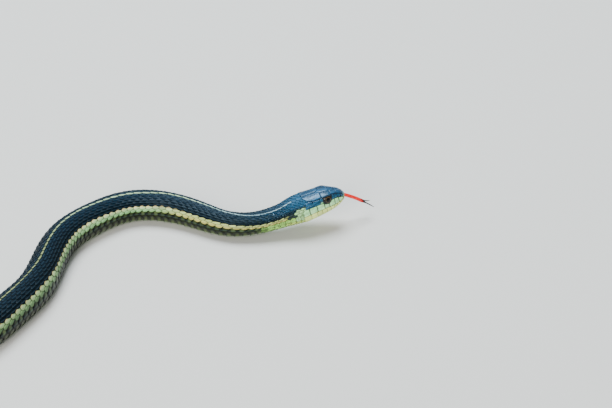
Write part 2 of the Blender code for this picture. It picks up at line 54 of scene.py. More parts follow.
# %% [markdown]
# ## The line of the back
# The snake lies along one smooth curve. It could be drawn as a Bezier curve and the pieces bent
# with a Curve modifier, but then no piece could be placed by its distance from the snout. Here a
# spline through a few given places gives the middle of the snake on the floor, and two tables
# give the size and the form of its section, all in millimetres. They repeat those of the solids.

# %% The snake's driving dimensions
TOTAL_LENGTH = 600.0
NAPE = 26.0
VENT = 460.0
NECK_LIFTS_AT = 64.0
HEAD_PITCH = math.radians(11.0)
LIFT_RATE = math.tan(HEAD_PITCH) / (2 * (NECK_LIFTS_AT - NAPE))
WAYPOINTS = (
    (167.0, 43.3), (144.6, 33.8), (130.0, 30.4), (122.0, 31.2), (109.8, 37.5),
    (98.2, 42.7), (86.5, 44.1), (78.4, 41.7), (71.0, 36.4), (58.4, 21.2),
    (53.9, 5.9), (49.5, -14.2), (42.2, -28.5), (30.0, -46.0), (12.0, -55.0),
    (-8.0, -48.0), (-19.0, -29.0), (-22.0, -5.0), (-24.0, 19.0), (-32.0, 41.0),
    (-51.0, 54.0), (-74.0, 51.0), (-88.0, 33.0), (-91.0, 9.0), (-93.0, -15.0),
    (-103.0, -37.0), (-123.0, -49.0), (-143.0, -43.0), (-154.0, -25.0),
    (-161.0, -4.0), (-171.0, 15.0), (-188.0, 30.0),
)
# Back from the snout, half width, height of the crown, height of the chin or belly
GIRTH = (
    (-0.35, 0.0, 4.0, 4.0), (-0.29, 0.6, 4.45, 3.55), (0.0, 1.25, 5.05, 2.9),
    (0.4, 2.0, 5.7, 2.4), (1.1, 2.7, 6.4, 1.9), (2.2, 3.3, 7.1, 1.4), (4.2, 4.0, 8.0, 0.85),
    (6.8, 4.65, 8.8, 0.5), (9.4, 5.15, 9.1, 0.3), (12.5, 5.65, 9.2, 0.15), (16.0, 6.1, 9.2, 0.05),
    (19.0, 6.25, 9.1, 0.0), (22.0, 5.8, 8.85, 0.0), (26.0, 4.95, 8.4, 0.0), (35.0, 4.65, 8.2, 0.0),
    (46.0, 5.0, 9.0, 0.0), (60.0, 5.7, 10.2, 0.0), (80.0, 6.2, 11.2, 0.0), (105.0, 6.45, 11.7, 0.0),
    (130.0, 6.7, 12.1, 0.0), (160.0, 7.0, 12.6, 0.0), (190.0, 7.4, 13.3, 0.0),
    (230.0, 7.8, 14.0, 0.0), (290.0, 8.1, 14.5, 0.0), (350.0, 7.8, 14.0, 0.0),
    (400.0, 6.9, 12.6, 0.0), (440.0, 5.7, 10.6, 0.0), (460.0, 5.1, 9.6, 0.0),
    (475.0, 4.6, 8.8, 0.0), (500.0, 3.85, 7.4, 0.0), (530.0, 2.95, 5.7, 0.0),
    (560.0, 1.95, 3.8, 0.0), (585.0, 0.95, 1.9, 0.0), (600.0, 0.35, 0.7, 0.0),
    (600.3, 0.0, 0.35, 0.35),
)
# Back, roundness of the section, height of its widest place and reach of its belly, as shares
SHAPE = (
    (0.0, 2.3, 0.42, 0.0), (2.2, 2.6, 0.40, 0.0), (6.8, 2.9, 0.36, 0.01), (12.5, 2.9, 0.38, 0.02),
    (19.0, 2.7, 0.42, 0.04), (26.0, 2.3, 0.45, 0.07), (45.0, 2.05, 0.46, 0.10),
    (300.0, 2.05, 0.46, 0.10), (460.0, 2.05, 0.47, 0.09), (600.0, 2.05, 0.48, 0.08),
)


# %% Smooth functions from short tables
def smooth(table, column):
    """A smooth function through one column of a table, with no overshoot between its rows."""
    at = np.array([row[0] for row in table], float)
    value = np.array([row[column] for row in table], float)
    step = np.diff(at)
    slope = np.diff(value) / step
    tangent = np.zeros(len(at))
    tangent[0], tangent[-1] = slope[0], slope[-1]
    same_way = slope[:-1] * slope[1:] > 0
    weight_a = 2 * step[1:] + step[:-1]
    weight_b = step[1:] + 2 * step[:-1]
    with np.errstate(divide="ignore", invalid="ignore"):
        mean = (weight_a + weight_b) / (weight_a / slope[:-1] + weight_b / slope[1:])
    tangent[1:-1] = np.where(same_way, mean, 0.0)

    def evaluate(x):
        x = np.clip(x, at[0], at[-1])
        i = np.clip(np.searchsorted(at, x, side="right") - 1, 0, len(step) - 1)
        t = (x - at[i]) / step[i]
        return (
            value[i] * (1 + 2 * t) * (1 - t) ** 2
            + step[i] * tangent[i] * t * (1 - t) ** 2
            + value[i + 1] * t * t * (3 - 2 * t)
            + step[i] * tangent[i + 1] * t * t * (t - 1)
        )

    return evaluate


def distances(points):
    """How far along a line each of its points is."""
    return np.concatenate([[0], np.cumsum(np.linalg.norm(np.diff(points, axis=0), axis=1))])


def natural_spline(points, samples):
    """Many places on the smoothest curve through a few points."""
    points = np.array(points, float)
    knots = distances(points)
    step = np.diff(knots)
    count = len(points)
    matrix = np.eye(count)
    right = np.zeros_like(points)
    for i in range(1, count - 1):
        matrix[i, i - 1 : i + 2] = step[i - 1], 2 * (step[i - 1] + step[i]), step[i]
        after = (points[i + 1] - points[i]) / step[i]
        before = (points[i] - points[i - 1]) / step[i - 1]
        right[i] = 6 * (after - before)
    bend = np.linalg.solve(matrix, right)
    at = np.linspace(0, knots[-1], samples)
    i = np.clip(np.searchsorted(knots, at, side="right") - 1, 0, count - 2)
    a = ((knots[i + 1] - at) / step[i])[:, None]
    b = 1 - a
    arch = ((a**3 - a) * bend[i] + (b**3 - b) * bend[i + 1]) * step[i][:, None] ** 2 / 6
    return a * points[i] + b * points[i + 1] + arch


half_width, crown, chin = (smooth(GIRTH, column) for column in (1, 2, 3))
roundness, widest_share, belly_share = (smooth(SHAPE, column) for column in (1, 2, 3))
floor_line = natural_spline(WAYPOINTS, 4000)
floor_back = distances(floor_line)
print("the line on the floor is", round(floor_back[-1], 1), "mm long")

# %% [markdown]
# ## From flat to snake
# A place on the snake is its distance back from the snout, its angle round the body (0 on the
# crown, 90 on the left flank, 180 on the belly, and negative on the right), and how far it is
# raised. One function turns whole arrays of these into points in space, so a thousand scales are
# as quick to lay as one. Two small reliefs are added on the head: the brow and the nostrils.

# %% The wrap
BROW_STANDS_OUT = 0.55
BROW_BACK = 7.4
BROW_DEGREES = 42.0
BROW_REACH = (2.6, 14.0)
NOSTRIL_BACK = 1.75
NOSTRIL_DEGREES = 67.0
NOSTRIL_DEPTH = 0.75
NOSTRIL_RADIUS = 0.34
NOSTRIL_BELOW = 40.0  # no nostril nearer to the crown than this, in degrees


def backbone(back):
    """Belly point, ahead, left and up of the snake's section, for an array of distances back."""
    behind_nape = np.maximum(back, NAPE)
    before, after = (
        np.stack([np.interp(behind_nape + side, floor_back, floor_line[:, i]) for i in (0, 1)], -1)
        for side in (-0.5, 0.5)
    )
    forward = before - after
    forward /= np.linalg.norm(forward, axis=-1, keepdims=True)
    middle = (before + after) / 2
    lifted = np.maximum(0.0, NECK_LIFTS_AT - behind_nape)
    pitch = np.arctan(2 * LIFT_RATE * lifted)
    x, y = forward[..., 0], forward[..., 1]
    ahead = np.stack([x * np.cos(pitch), y * np.cos(pitch), np.sin(pitch)], -1)
    left = np.stack([-y, x, np.zeros_like(pitch)], -1)
    belly = np.stack([middle[..., 0], middle[..., 1], LIFT_RATE * lifted**2], -1)
    belly = belly + ahead * np.maximum(0.0, NAPE - back)[..., None]
    return belly, ahead, left, np.cross(ahead, left)


def levels(back):
    """Heights of a section's crown, chin and widest place, and its reach below the widest."""
    top, low = crown(back), chin(back)
    middle = low + widest_share(back) * (top - low)
    return top, low, middle, middle - low + belly_share(back) * (top - low)


def signed_power(value, power):
    return np.sign(value) * np.abs(value) ** power


def section(back, degrees):
    """The section's own outline, before any relief: how far to the left, and how high."""
    top, low, middle, under = levels(back)
    power = 2 / roundness(back)
    across = signed_power(np.sin(np.radians(degrees)), power) * half_width(back)
    share = signed_power(np.cos(np.radians(degrees)), power)
    return across, np.maximum(low, middle + share * np.where(share > 0, top - middle, under))


def on_snake(back, degrees, raised):
    """Points in space, in metres, for arrays of places on the snake."""
    given = (np.asarray(x, float) for x in (back, degrees, raised))
    back, degrees, raised = np.broadcast_arrays(*given)
    across, high = section(back, degrees)
    away = (back - BROW_BACK) / BROW_REACH[0]
    aside = (np.abs(degrees) - BROW_DEGREES) / BROW_REACH[1]
    raised = raised + BROW_STANDS_OUT * np.exp(-(away**2) - aside**2)
    to_nostril = np.hypot(back - NOSTRIL_BACK, high - nostril_high) / NOSTRIL_RADIUS
    pit = NOSTRIL_DEPTH * np.exp(-(to_nostril**2)) * (np.abs(degrees) > NOSTRIL_BELOW)
    across = across + (raised - pit) * np.sin(np.radians(degrees))
    high = high + (raised - pit) * np.cos(np.radians(degrees))
    belly, _, left, up = backbone(back)
    return (belly + left * across[..., None] + up * high[..., None]) * MM


nostril_high = float(section(NOSTRIL_BACK, NOSTRIL_DEGREES)[1])
print("widest place", on_snake(290.0, 90.0, 0.0), "snout", on_snake(0.0, 0.0, 0.0))

# %% [markdown]
# ## Finishing a piece
# Each piece ends the same way: its faces are made to point out, it is shaded smooth but for its
# sharp edges, and it is tied to the solid body. Two facts are stored on every point for the
# materials to read: `mark`, which is the place in the snake's pattern, and `place`, which is the
# place inside one scale. Attributes stay with the mesh, so a pattern can't slide off it.

# %% Helpers for pieces
SHARP = math.radians(50)


def store(mesh, name, *columns):
    """Keeps three numbers for each point of the mesh."""
    layer = mesh.attributes.new(name, "FLOAT_VECTOR", "POINT")
    rows = np.stack(np.broadcast_arrays(*columns), -1)
    layer.data.foreach_set("vector", np.asarray(rows, np.float32).ravel())


def set_points(mesh, points):
    mesh.vertices.foreach_set("co", np.asarray(points, np.float32).ravel())
    mesh.update()


def points_of(mesh):
    flat = np.empty(len(mesh.vertices) * 3, np.float32)
    mesh.vertices.foreach_get("co", flat)
    return flat.reshape(-1, 3).astype(float)


def mesh_from(bm, name):
    """Turns a bmesh into a mesh of its own."""
    mesh = bpy.data.meshes.new(name)
    bm.to_mesh(mesh)
    bm.free()
    return mesh


def add_object(name, data):
    added = bpy.data.objects.new(name, data)
    bpy.context.scene.collection.objects.link(added)
    return added


def evaluated_mesh(holder):
    """The mesh of an object with its modifiers applied."""
    return bpy.data.meshes.new_from_object(
        holder.evaluated_get(bpy.context.evaluated_depsgraph_get())
    )


def finish_piece(name, mesh, material, sharp=SHARP):
    """A named object from a finished mesh, riding on the snake."""
    bm = bmesh.new()
    bm.from_mesh(mesh)
    bmesh.ops.recalc_face_normals(bm, faces=bm.faces)
    bm.to_mesh(mesh)
    bm.free()
    mesh.shade_smooth()
    mesh.set_sharp_from_angle(angle=sharp)
    mesh.materials.clear()
    mesh.materials.append(material)
    piece = add_object(name, mesh)
    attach(piece, "root")
    triangles = sum(len(face.vertices) - 2 for face in mesh.polygons)
    print(name, len(mesh.vertices), "points,", triangles, "triangles")
    return piece


# %% [markdown]
# ## Nodes
# The materials are built with short helpers, so that each effect reads as a list of steps. A
# socket knows the node tree that it is in, so a helper adds its node to the tree of the values
# it is given. Colours are given as they look on a screen and are turned into linear light here.

# %% Helpers that add one node
def tint(red, green, blue):
    """A linear colour from the 0 to 255 values seen on a screen."""
    share = np.array([red, green, blue]) / 255
    linear = np.where(share <= 0.04045, share / 12.92, ((share + 0.055) / 1.055) ** 2.4)
    return (*(float(x) for x in linear), 1.0)


def wire(inputs, values):
    """Links each input to a socket, or sets it to a constant."""
    for key, value in values.items():
        if isinstance(value, bpy.types.NodeSocket):
            value.id_data.links.new(value, inputs[key])
        else:
            inputs[key].default_value = value


def put(kind, values, **options):
    """Adds a node beside the sockets it reads, sets its options and wires its inputs."""
    tree = next(v.id_data for v in values.values() if isinstance(v, bpy.types.NodeSocket))
    node = tree.nodes.new(kind)
    for name, value in options.items():
        setattr(node, name, value)
    wire(node.inputs, values)
    return node.outputs


def maths(operation, *values):
    return put("ShaderNodeMath", dict(enumerate(values)), operation=operation)[0]


def times(first, *others):
    """The product of masks and numbers, the first of them a mask."""
    for other in others:
        first = maths("MULTIPLY", first, other)
    return first


def between(value, low, high, bottom=0.0, top=1.0, kind="SMOOTHSTEP"):
    """Goes smoothly from bottom to top as the value goes from low to high."""
    wires = {"Value": value, "From Min": low, "From Max": high, "To Min": bottom, "To Max": top}
    return put("ShaderNodeMapRange", wires, interpolation_type=kind)["Result"]


def blend(share, a, b, way="MIX"):
    """Mixes two colours."""
    return put("ShaderNodeMix", {0: share, 6: a, 7: b}, data_type="RGBA", blend_type=way)[2]


def combine(x, y=0.0, z=0.0):
    return put("ShaderNodeCombineXYZ", {0: x, 1: y, 2: z})[0]


def parts(vector):
    return put("ShaderNodeSeparateXYZ", {0: vector})


def noise(vector, scale, detail=2.0, stretch_by=(1.0, 1.0, 1.0)):
    """Soft noise, which may be drawn out one way."""
    stretched = put("ShaderNodeMapping", {"Vector": vector, "Scale": stretch_by})[0]
    wires = {"Vector": stretched, "Scale": scale, "Detail": detail}
    return put("ShaderNodeTexNoise", wires, normalize=True)[0]


def bump(height, strength, distance):
    wires = {"Height": height, "Strength": strength, "Distance": distance}
    return put("ShaderNodeBump", wires)[0]


# %% Helpers for masks and colours
def stretch(value, starts, full, fades, ends):
    """A mask over one stretch of the value, with a soft beginning and a soft end."""
    return times(between(value, starts, full), between(value, ends, fades))


def over(colour, paint, *masks):
    """Lays paint over a colour where all the masks are 1."""
    return blend(times(*masks), colour, paint)


def dimmed(colour, light):
    """A colour made darker or lighter by one number."""
    return blend(1.0, colour, combine(light, light, light), "MULTIPLY")


def ramp(value, span, stops):
    """A colour ramp over 0 to span, from pairs of a place and a colour."""
    tree, share = value.id_data, maths("DIVIDE", value, span)
    node = tree.nodes.new("ShaderNodeValToRGB")
    wire(node.inputs, {"Fac": share})
    elements = node.color_ramp.elements
    for i, (place, colour) in enumerate(stops):
        stop = elements[i] if i < 2 else elements.new(place / span)
        stop.position = place / span
        stop.color = colour
    return node.outputs["Color"]


# %% Helpers for groups and materials
FLOAT, COLOUR, VECTOR = "NodeSocketFloat", "NodeSocketColor", "NodeSocketVector"


def new_group(name, inputs, outputs):
    """A node group with named sockets: the group, what it is given, and what it gives back."""
    group = bpy.data.node_groups.new(name, "ShaderNodeTree")
    for way, sockets in (("INPUT", inputs), ("OUTPUT", outputs)):
        for socket, kind in sockets.items():
            group.interface.new_socket(socket, in_out=way, socket_type=kind)
    given = group.nodes.new("NodeGroupInput").outputs
    return group, given, group.nodes.new("NodeGroupOutput").inputs


def use_group(group, **values):
    """Places a node group beside the sockets it reads, and returns its outputs."""
    tree = next(v.id_data for v in values.values() if isinstance(v, bpy.types.NodeSocket))
    node = tree.nodes.new("ShaderNodeGroup")
    node.node_tree = group
    wire(node.inputs, values)
    return node.outputs


def new_material(name):
    made = bpy.data.materials.new(name)
    made.use_nodes = True
    return made, made.node_tree


def dress(material, **values):
    """Wires or sets the inputs of the material's shader, with _ for each space in a name."""
    shader = material.node_tree.nodes["Principled BSDF"].inputs
    wire(shader, {name.replace("_", " "): value for name, value in values.items()})
    return material


def attribute(tree, name):
    """An attribute's vector, and its three numbers."""
    node = tree.nodes.new("ShaderNodeAttribute")
    node.attribute_name = name
    return node.outputs["Vector"], parts(node.outputs["Vector"])


def object_place(tree):
    return tree.nodes.new("ShaderNodeTexCoord").outputs["Object"]


# %% [markdown]
# ## The snake's markings
# A garter snake is dark with three pale stripes: one along the backbone, a scale wide, and one on
# each flank over the second and third rows of scales. Below the flank stripe comes a dark olive
# row with a pale bar on each scale, and then the pale belly. The skin and every scale share this
# one group, so that their colours always agree. It could be painted as one long image, but a
# ramp over the angle round the body stays sharp at any distance. What changes along the body is
# laid over the ramp, zone by zone: the blue of the nape, the yellower stripe in front and the
# greener one behind, the green throat, and the dark notch and the pale cheek behind the jaw.
# Behind, the pattern is dimmed: partly the snake's own duller colour, partly painted shade.

# %% Colours of the markings
STRIPE = tint(176, 202, 156)
NAPE_STRIPE = tint(176, 212, 224)
HIND_STRIPE = tint(158, 168, 112)
DARK = tint(4, 20, 31)
NAPE_BLUE = tint(14, 54, 84)
TEMPLE_BLUE = tint(34, 84, 116)
NOTCH = tint(7, 30, 44)
YELLOW = tint(206, 206, 108)
WARM = tint(214, 172, 88)
HIND_GREEN = tint(158, 192, 126)
# OLIVE and HIND_OLIVE: the row's own dark olive, made darker still as painted shade low on the
# flank.
OLIVE = tint(28, 30, 12)
HIND_OLIVE = tint(18, 20, 8)
BELLY = tint(176, 194, 164)
THROAT = tint(174, 228, 112)
CHEEK = tint(172, 216, 150)
JAW_YELLOW = tint(210, 232, 118)
# This colour darkens each scale's rim: partly its own dark seam, partly painted shade between
# scales.
SEAM_BLACK_AND_SHADE = tint(10, 14, 12)
LINE_HALF = (2.2, 3.5)  # half the back stripe's width in degrees, at the nape and on the trunk
HIND_LINE_THINNER = 0.7
HIND_STARTS, HIND_FULL = 104.0, 146.0

# %% The group for the markings
markings, given, result = new_group("markings", {"Mark": VECTOR}, {"Color": COLOUR})
back_mm, angle, tone = parts(given["Mark"])
bands = ramp(angle, 180.0, (
    (0.0, tint(6, 32, 50)), (38.0, DARK), (57.0, tint(3, 16, 24)), (58.0, tint(214, 166, 112)),
    (61.5, tint(226, 218, 158)), (66.0, tint(200, 228, 160)), (73.0, tint(164, 216, 148)),
    (80.0, tint(138, 186, 116)), (83.0, tint(70, 96, 52)), (84.5, OLIVE),
    (112.0, tint(34, 38, 20)), (128.0, tint(160, 180, 146)), (180.0, BELLY),
))
forward = between(back_mm, 82.0, 60.0)
hind = between(back_mm, HIND_STARTS, HIND_FULL)
in_band = stretch(angle, 60.0, 61.5, 82.0, 84.0)
line_half = between(back_mm, 20.0, 90.0, *LINE_HALF)
line_half = maths("SUBTRACT", line_half, times(hind, HIND_LINE_THINNER))
in_line = between(maths("SUBTRACT", angle, line_half), 0.7, -0.7)
line_colour = blend(between(back_mm, 75.0, 34.0), STRIPE, NAPE_STRIPE)
line_colour = blend(hind, line_colour, HIND_STRIPE)
nape_colour = blend(between(back_mm, 28.0, 17.0), NAPE_BLUE, TEMPLE_BLUE)
# Each zone is a colour, then its masks: stretches of the angle and of the distance back
ZONES = {
    "blue nape": (nape_colour, between(back_mm, 44.0, 18.0), between(angle, 58.0, 36.0)),
    "yellower flank stripe in front": (YELLOW, in_band, forward, 0.6),
    "its warm lower edge": (WARM, stretch(angle, 68.0, 76.0, 82.0, 83.0), forward, 0.4),
    "greener flank stripe behind": (HIND_GREEN, in_band, hind, 0.6),
    "darker olive behind, partly painted shade": (HIND_OLIVE, stretch(angle, 71.0, 75.0, 128.0, 142.0), hind, 0.5),
    "dark over the stripe's edge": (DARK, stretch(angle, 56.0, 57.5, 62.5, 64.0), forward),
    "stripe of the back": (line_colour, in_line, between(back_mm, 20.0, 24.0)),
    "green throat": (
        THROAT, stretch(angle, 80.0, 88.0, 122.0, 136.0), between(back_mm, 37.0, 31.0),
    ),
    "dark notch behind the cheek": (
        NOTCH, stretch(angle, 40.0, 50.0, 82.0, 85.0), between(back_mm, 25.4, 24.6), 0.96,
    ),
    "pale cheek": (CHEEK, between(back_mm, 21.5, 20.8), between(angle, 47.0, 51.0)),
    "yellow line under the jaw": (
        JAW_YELLOW, stretch(angle, 92.0, 96.0, 128.0, 140.0), between(back_mm, 26.5, 24.0),
    ),
}
for paint, *masks in ZONES.values():
    bands = over(bands, paint, *masks)
own_light = between(tone, 0.0, 1.0, 0.7, 1.3, "LINEAR")
# Each scale's own tone, and the hind body dimmed to 0.7: partly duller colour, partly painted
# shade.
bands = dimmed(bands, times(own_light, between(back_mm, HIND_STARTS, HIND_FULL, 1.0, 0.7)))
wire(result, {"Color": bands})
print("markings:", len(ZONES), "zones,", len(markings.nodes), "nodes")

# %% [markdown]
# ## The detail inside one scale
# Close up, a scale is finely grooved along its length, its keel carries a painted highlight, and
# its edges are dark where it meets its neighbours, partly its own dark seam and partly painted
# shade.
# This second group reads `place`: how far along the scale a point is, how far across, and how close
# to its rim. It gives a colour and a height for a bump.

# %% The group for one scale's detail
OWN_GRAIN = 37.0  # how far apart in the noise two scales of different tone lie
detail, given, result = new_group(
    "scale detail",
    {"Color": COLOUR, "Place": VECTOR, "Tone": FLOAT, "Keel": FLOAT, "Edge": FLOAT},
    {"Color": COLOUR, "Height": FLOAT},
)
along, across, rim = parts(given["Place"])
# The lighter keel line is a painted highlight, as strong as the Keel input.
keel_highlight = times(between(maths("ABSOLUTE", across), 0.14, 0.02), given["Keel"])
own_place = combine(along, across, times(given["Tone"], OWN_GRAIN))
grooves = noise(own_place, 1.0, 2.0, (1.6, 11.0, 1.0))
blotch = noise(own_place, 1.0, 3.0, (2.2, 2.2, 1.0))
in_groove = between(grooves, 0.35, 0.75, 0.0, 0.4)
in_blotch = between(blotch, 0.3, 0.7, 0.0, 0.25)
shade = blend(times(keel_highlight, 0.12), given["Color"], tint(120, 160, 180), "SCREEN")
shade = blend(in_groove, shade, tint(120, 140, 140), "MULTIPLY")
shade = blend(in_blotch, shade, tint(200, 205, 190), "SOFT_LIGHT")
# Dark seam and painted shade: the rim, walls and foot are darkened, as much as the Edge input.
shade = over(shade, SEAM_BLACK_AND_SHADE, between(rim, 0.64, 0.96), given["Edge"])
height = maths("ADD", times(grooves, 0.6), times(blotch, 0.4))
wire(result, {"Color": shade, "Height": height})
print("scale detail:", len(detail.nodes), "nodes")

# %% [markdown]
# ## The lattice of scales
# The back has nineteen rows of scales, each row half a scale out of step with the next, which is
# what makes the diamond pattern. Towards the tail rows drop out one by one as the body thins. A
# row that drops out here narrows to nothing over a few scales, and the rows beyond it slide half
# a step meanwhile, so that the diamonds stay whole, as they do on the animal. A lying snake also
# rolls from side to side, so the whole lattice is turned round the body, by up to 17 degrees and
# differently along the back. The turn is full on the crown, and fades down the flanks to none at
# the belly plates, which stay down.

# %% Rows and steps
SCUTE_EDGE = 101.0  # degrees from the crown to the ends of the belly plates
ROW_WIDTHS = (9.0, 9.3, 9.3, 9.3, 9.3, 9.3, 9.3, 11.6, 10.9, 18.2)  # the first is the backbone's
ROW_ENDS = {5: 300.0, 4: 436.0, 8: 470.0, 2: 486.0, 6: 508.0, 3: 538.0, 9: 568.0}
ROW_FADES = 16.0
VENTRALS = 141
COAT_DEPTH = 0.3
COAT_FULL_AT = 6.0  # the half width at which the coat has this depth
COAT_LEAST, COAT_MOST = 0.12, 1.15  # shares of it at the tail's tip and on the trunk
# Back from the snout, then the length of a scale's step
STEPS = (
    (0.0, 1.75), (16.0, 1.85), (26.0, 2.15), (45.0, 2.75), (80.0, 3.2), (300.0, 3.15),
    (400.0, 2.95), (460.0, 2.4), (500.0, 2.1), (600.0, 1.9),
)
# Back, then how far the pattern is rolled to the left round the body, in degrees
ROLL = (
    (0.0, 0.0), (20.0, 0.0), (29.0, -12.0), (33.0, -13.0), (39.0, -7.0), (49.0, 9.0), (55.0, 12.0),
    (64.0, 10.0), (74.0, 8.0), (84.0, -1.0), (94.0, 0.0), (104.0, 6.0), (115.0, 11.0),
    (147.0, 10.0), (162.0, 17.5), (174.0, 13.0), (190.0, 5.0), (210.0, 0.0), (600.0, 0.0),
)

roll = smooth(ROLL, 1)
fine = np.linspace(0.0, TOTAL_LENGTH, 12001)
step_at = smooth(STEPS, 1)(fine)
count_at = np.concatenate([[0], np.cumsum((fine[1] - fine[0]) / step_at[:-1])])
trunk_count = np.interp(VENT, fine, count_at) - np.interp(NAPE, fine, count_at)
count_at = (count_at - np.interp(NAPE, fine, count_at)) * VENTRALS / trunk_count
keep = np.ones((len(ROW_WIDTHS), len(fine)))
for row, gone_at in ROW_ENDS.items():
    keep[row] = np.clip((gone_at - fine) / ROW_FADES, 0.0, 1.0)
widths = np.array(ROW_WIDTHS)[:, None] * keep
widths[0] /= 2
widths *= SCUTE_EDGE / widths.sum(axis=0)
row_middle = np.cumsum(widths, axis=0) - widths / 2
row_middle[0] = 0.0
widths[0] *= 2
true_middle = np.cumsum(ROW_WIDTHS) - np.array(ROW_WIDTHS) / 2 - ROW_WIDTHS[0] / 2
row_phase = np.cumsum(np.vstack([np.zeros(len(fine)), 0.5 * keep[1:]]), axis=0)
print("steps on the trunk:", VENTRALS, "and on the tail:", round(count_at[-1]) - VENTRALS)


def coat_depth(back):
    """How deep the coat is, from the scales' tips down to the skin under them."""
    return COAT_DEPTH * np.clip(half_width(back) / COAT_FULL_AT, COAT_LEAST, COAT_MOST)


def lattice_angle(back, degrees):
    """The angle on the body of an angle in the pattern, which is rolled along the back."""
    share = np.clip(1 - (np.abs(degrees) / SCUTE_EDGE) ** 2, 0.0, 1.0)
    return degrees + roll(back) * share


# %% [markdown]
# ## The skin
# Under the scales lies one skin from the snout to the tip of the tail. It shows only as fine
# lines between scales, dark on the body and pale blue where the neck is stretched, but without
# it the coat would have holes. A flat grid is wrapped round the whole body in one go, its long
# sides are merged along the belly, and its two ends shrink to a point. The grid's own flat layout
# stays as the map that textures are baked to.

# %% A skin material
SKIN_SHADE = 0.34
NAPE_SKIN = tint(130, 180, 214)
NAPE_SKIN_BACK = (14.0, 18.0, 40.0, 64.0)  # where along the neck the pale skin shows
CREASES_PER_METRE = 2600.0


def make_skin_material():
    made, tree = new_material("skin between the scales")
    mark, (mark_back, mark_angle, _) = attribute(tree, "mark")
    creases = noise(object_place(tree), CREASES_PER_METRE, 3.0)
    colour = use_group(markings, Mark=mark)["Color"]
    colour = dimmed(colour, between(mark_back, 15.0, 19.0, SKIN_SHADE / 2, SKIN_SHADE))
    colour = over(colour, tint(10, 14, 14), between(creases, 0.4, 0.7, 0.0, 0.5))
    on_neck = stretch(mark_back, *NAPE_SKIN_BACK)
    colour = over(colour, NAPE_SKIN, on_neck, between(mark_angle, 58.0, 50.0), 0.92)
    rough = between(creases, 0.3, 0.7, 0.5, 0.75)
    return dress(made, Base_Color=colour, Normal=bump(creases, 0.5, 0.00008), Roughness=rough)


skin_material = make_skin_material()

# %% The skin's mesh
SKIN_SIDES = 80
SNOUT_RINGS = (-0.35, -0.34, -0.31, -0.25, -0.13)
HEAD_RING_GAP, BODY_RING_GAP = 0.22, 1.15
TAIL_CAP = TOTAL_LENGTH - 4.0
TAIL_TIP = 600.3
POINTED = (-0.3, 600.25)  # beyond these distances back the skin isn't sunk, so it can close
HEAD_SKIN_SUNK = 0.2
SINKS_FROM, SINKS_OVER = 10.0, 3.0  # where the skin begins to sink to the coat's depth
ring_backs = np.concatenate([
    SNOUT_RINGS, np.arange(0.0, NAPE, HEAD_RING_GAP), np.arange(NAPE, TAIL_CAP, BODY_RING_GAP),
    np.linspace(TAIL_CAP, TAIL_TIP - 0.1, 12), [TAIL_TIP],
])


def skin_sunk(back):
    """How far the skin lies inside the outline: a little on the head, then the coat's depth."""
    share = np.clip((back - SINKS_FROM) / SINKS_OVER, 0.0, 1.0)
    sunk = HEAD_SKIN_SUNK + share * (coat_depth(back) - HEAD_SKIN_SUNK)
    closes = np.where((back < POINTED[0]) | (back > POINTED[1]), 0.0, 1.0)
    return sunk * closes * np.minimum(1.0, half_width(back))


ring_steps = len(ring_backs) - 1
bm = bmesh.new()
bm.loops.layers.uv.new("OFBake")
bmesh.ops.create_grid(bm, x_segments=ring_steps, y_segments=SKIN_SIDES, size=1.0, calc_uvs=True)
skin = mesh_from(bm, "snake_skin")
flat = points_of(skin)
skin_back = ring_backs[np.rint((flat[:, 0] + 1) / 2 * ring_steps).astype(int)]
skin_degrees = flat[:, 1] * 180.0
turned = lattice_angle(skin_back, skin_degrees)
set_points(skin, on_snake(skin_back, turned, -skin_sunk(skin_back)))
store(skin, "mark", skin_back, np.abs(skin_degrees), 0.5)
bm = bmesh.new()
bm.from_mesh(skin)
bmesh.ops.remove_doubles(bm, verts=bm.verts, dist=1e-6)
print("open edges on the skin:", sum(edge.is_boundary for edge in bm.edges))
bm.to_mesh(skin)
bm.free()
snake_skin = finish_piece("snake_skin", skin, skin_material)
own_nodes = ("eye_left", "eye_right", "tongue")
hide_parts(*(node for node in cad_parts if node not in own_nodes))

# %% [markdown]
# ## One scale
# A scale of the back is long and narrow, with its tip to the rear and a keel down its middle.
# Sculpting thousands by hand is out of the question, and a bump alone would leave the outline
# smooth. So one small solid is shaped from a grid: the grid's columns are drawn in towards the
# root and the tip, the whole is domed, and the rim is extruded down into the skin and closed.
# Its unwrap is a small patch, with the top and its walls in one half and the foot in the other.

# %% The base scale
SCALE_ALONG = (-0.74, -0.36, -0.02, 0.26, 0.48, 0.62)
SCALE_WIDTH = (0.34, 0.66, 0.82, 0.74, 0.47, 0.16)
SCALE_ACROSS = (-1.0, -0.62, -0.17, 0.0, 0.17, 0.62, 1.0)
SCALE_DOME = 0.32
ROOT_DEPTH = -1.0
RIM_BOTTOM = -1.35
ON_FOOT = 1.3  # the third number of `place` under a scale, past the 1 of its rim
# On a scale's patch: how far its top and its walls reach, then the two halves' middles and sizes
TOP_REACH, WALL_REACH = 0.8, 0.92
TOP_MIDDLE, TOP_WIDE = 0.36, 0.7
FOOT_MIDDLE, FOOT_WIDE, FOOT_LONG = 0.86, 0.24, 0.9


def close_below(bm, bottom):
    """Extrudes the open rim of a plate down and closes it underneath."""
    rim_edges = [edge for edge in bm.edges if edge.is_boundary]
    wall = bmesh.ops.extrude_edge_only(bm, edges=rim_edges)["geom"]
    foot = [item for item in wall if isinstance(item, bmesh.types.BMVert)]
    for vert in foot:
        vert.co.z = bottom
    walls = (item for item in wall if isinstance(item, bmesh.types.BMEdge))
    bmesh.ops.contextual_create(bm, geom=[edge for edge in walls if edge.is_boundary])
    return set(foot)


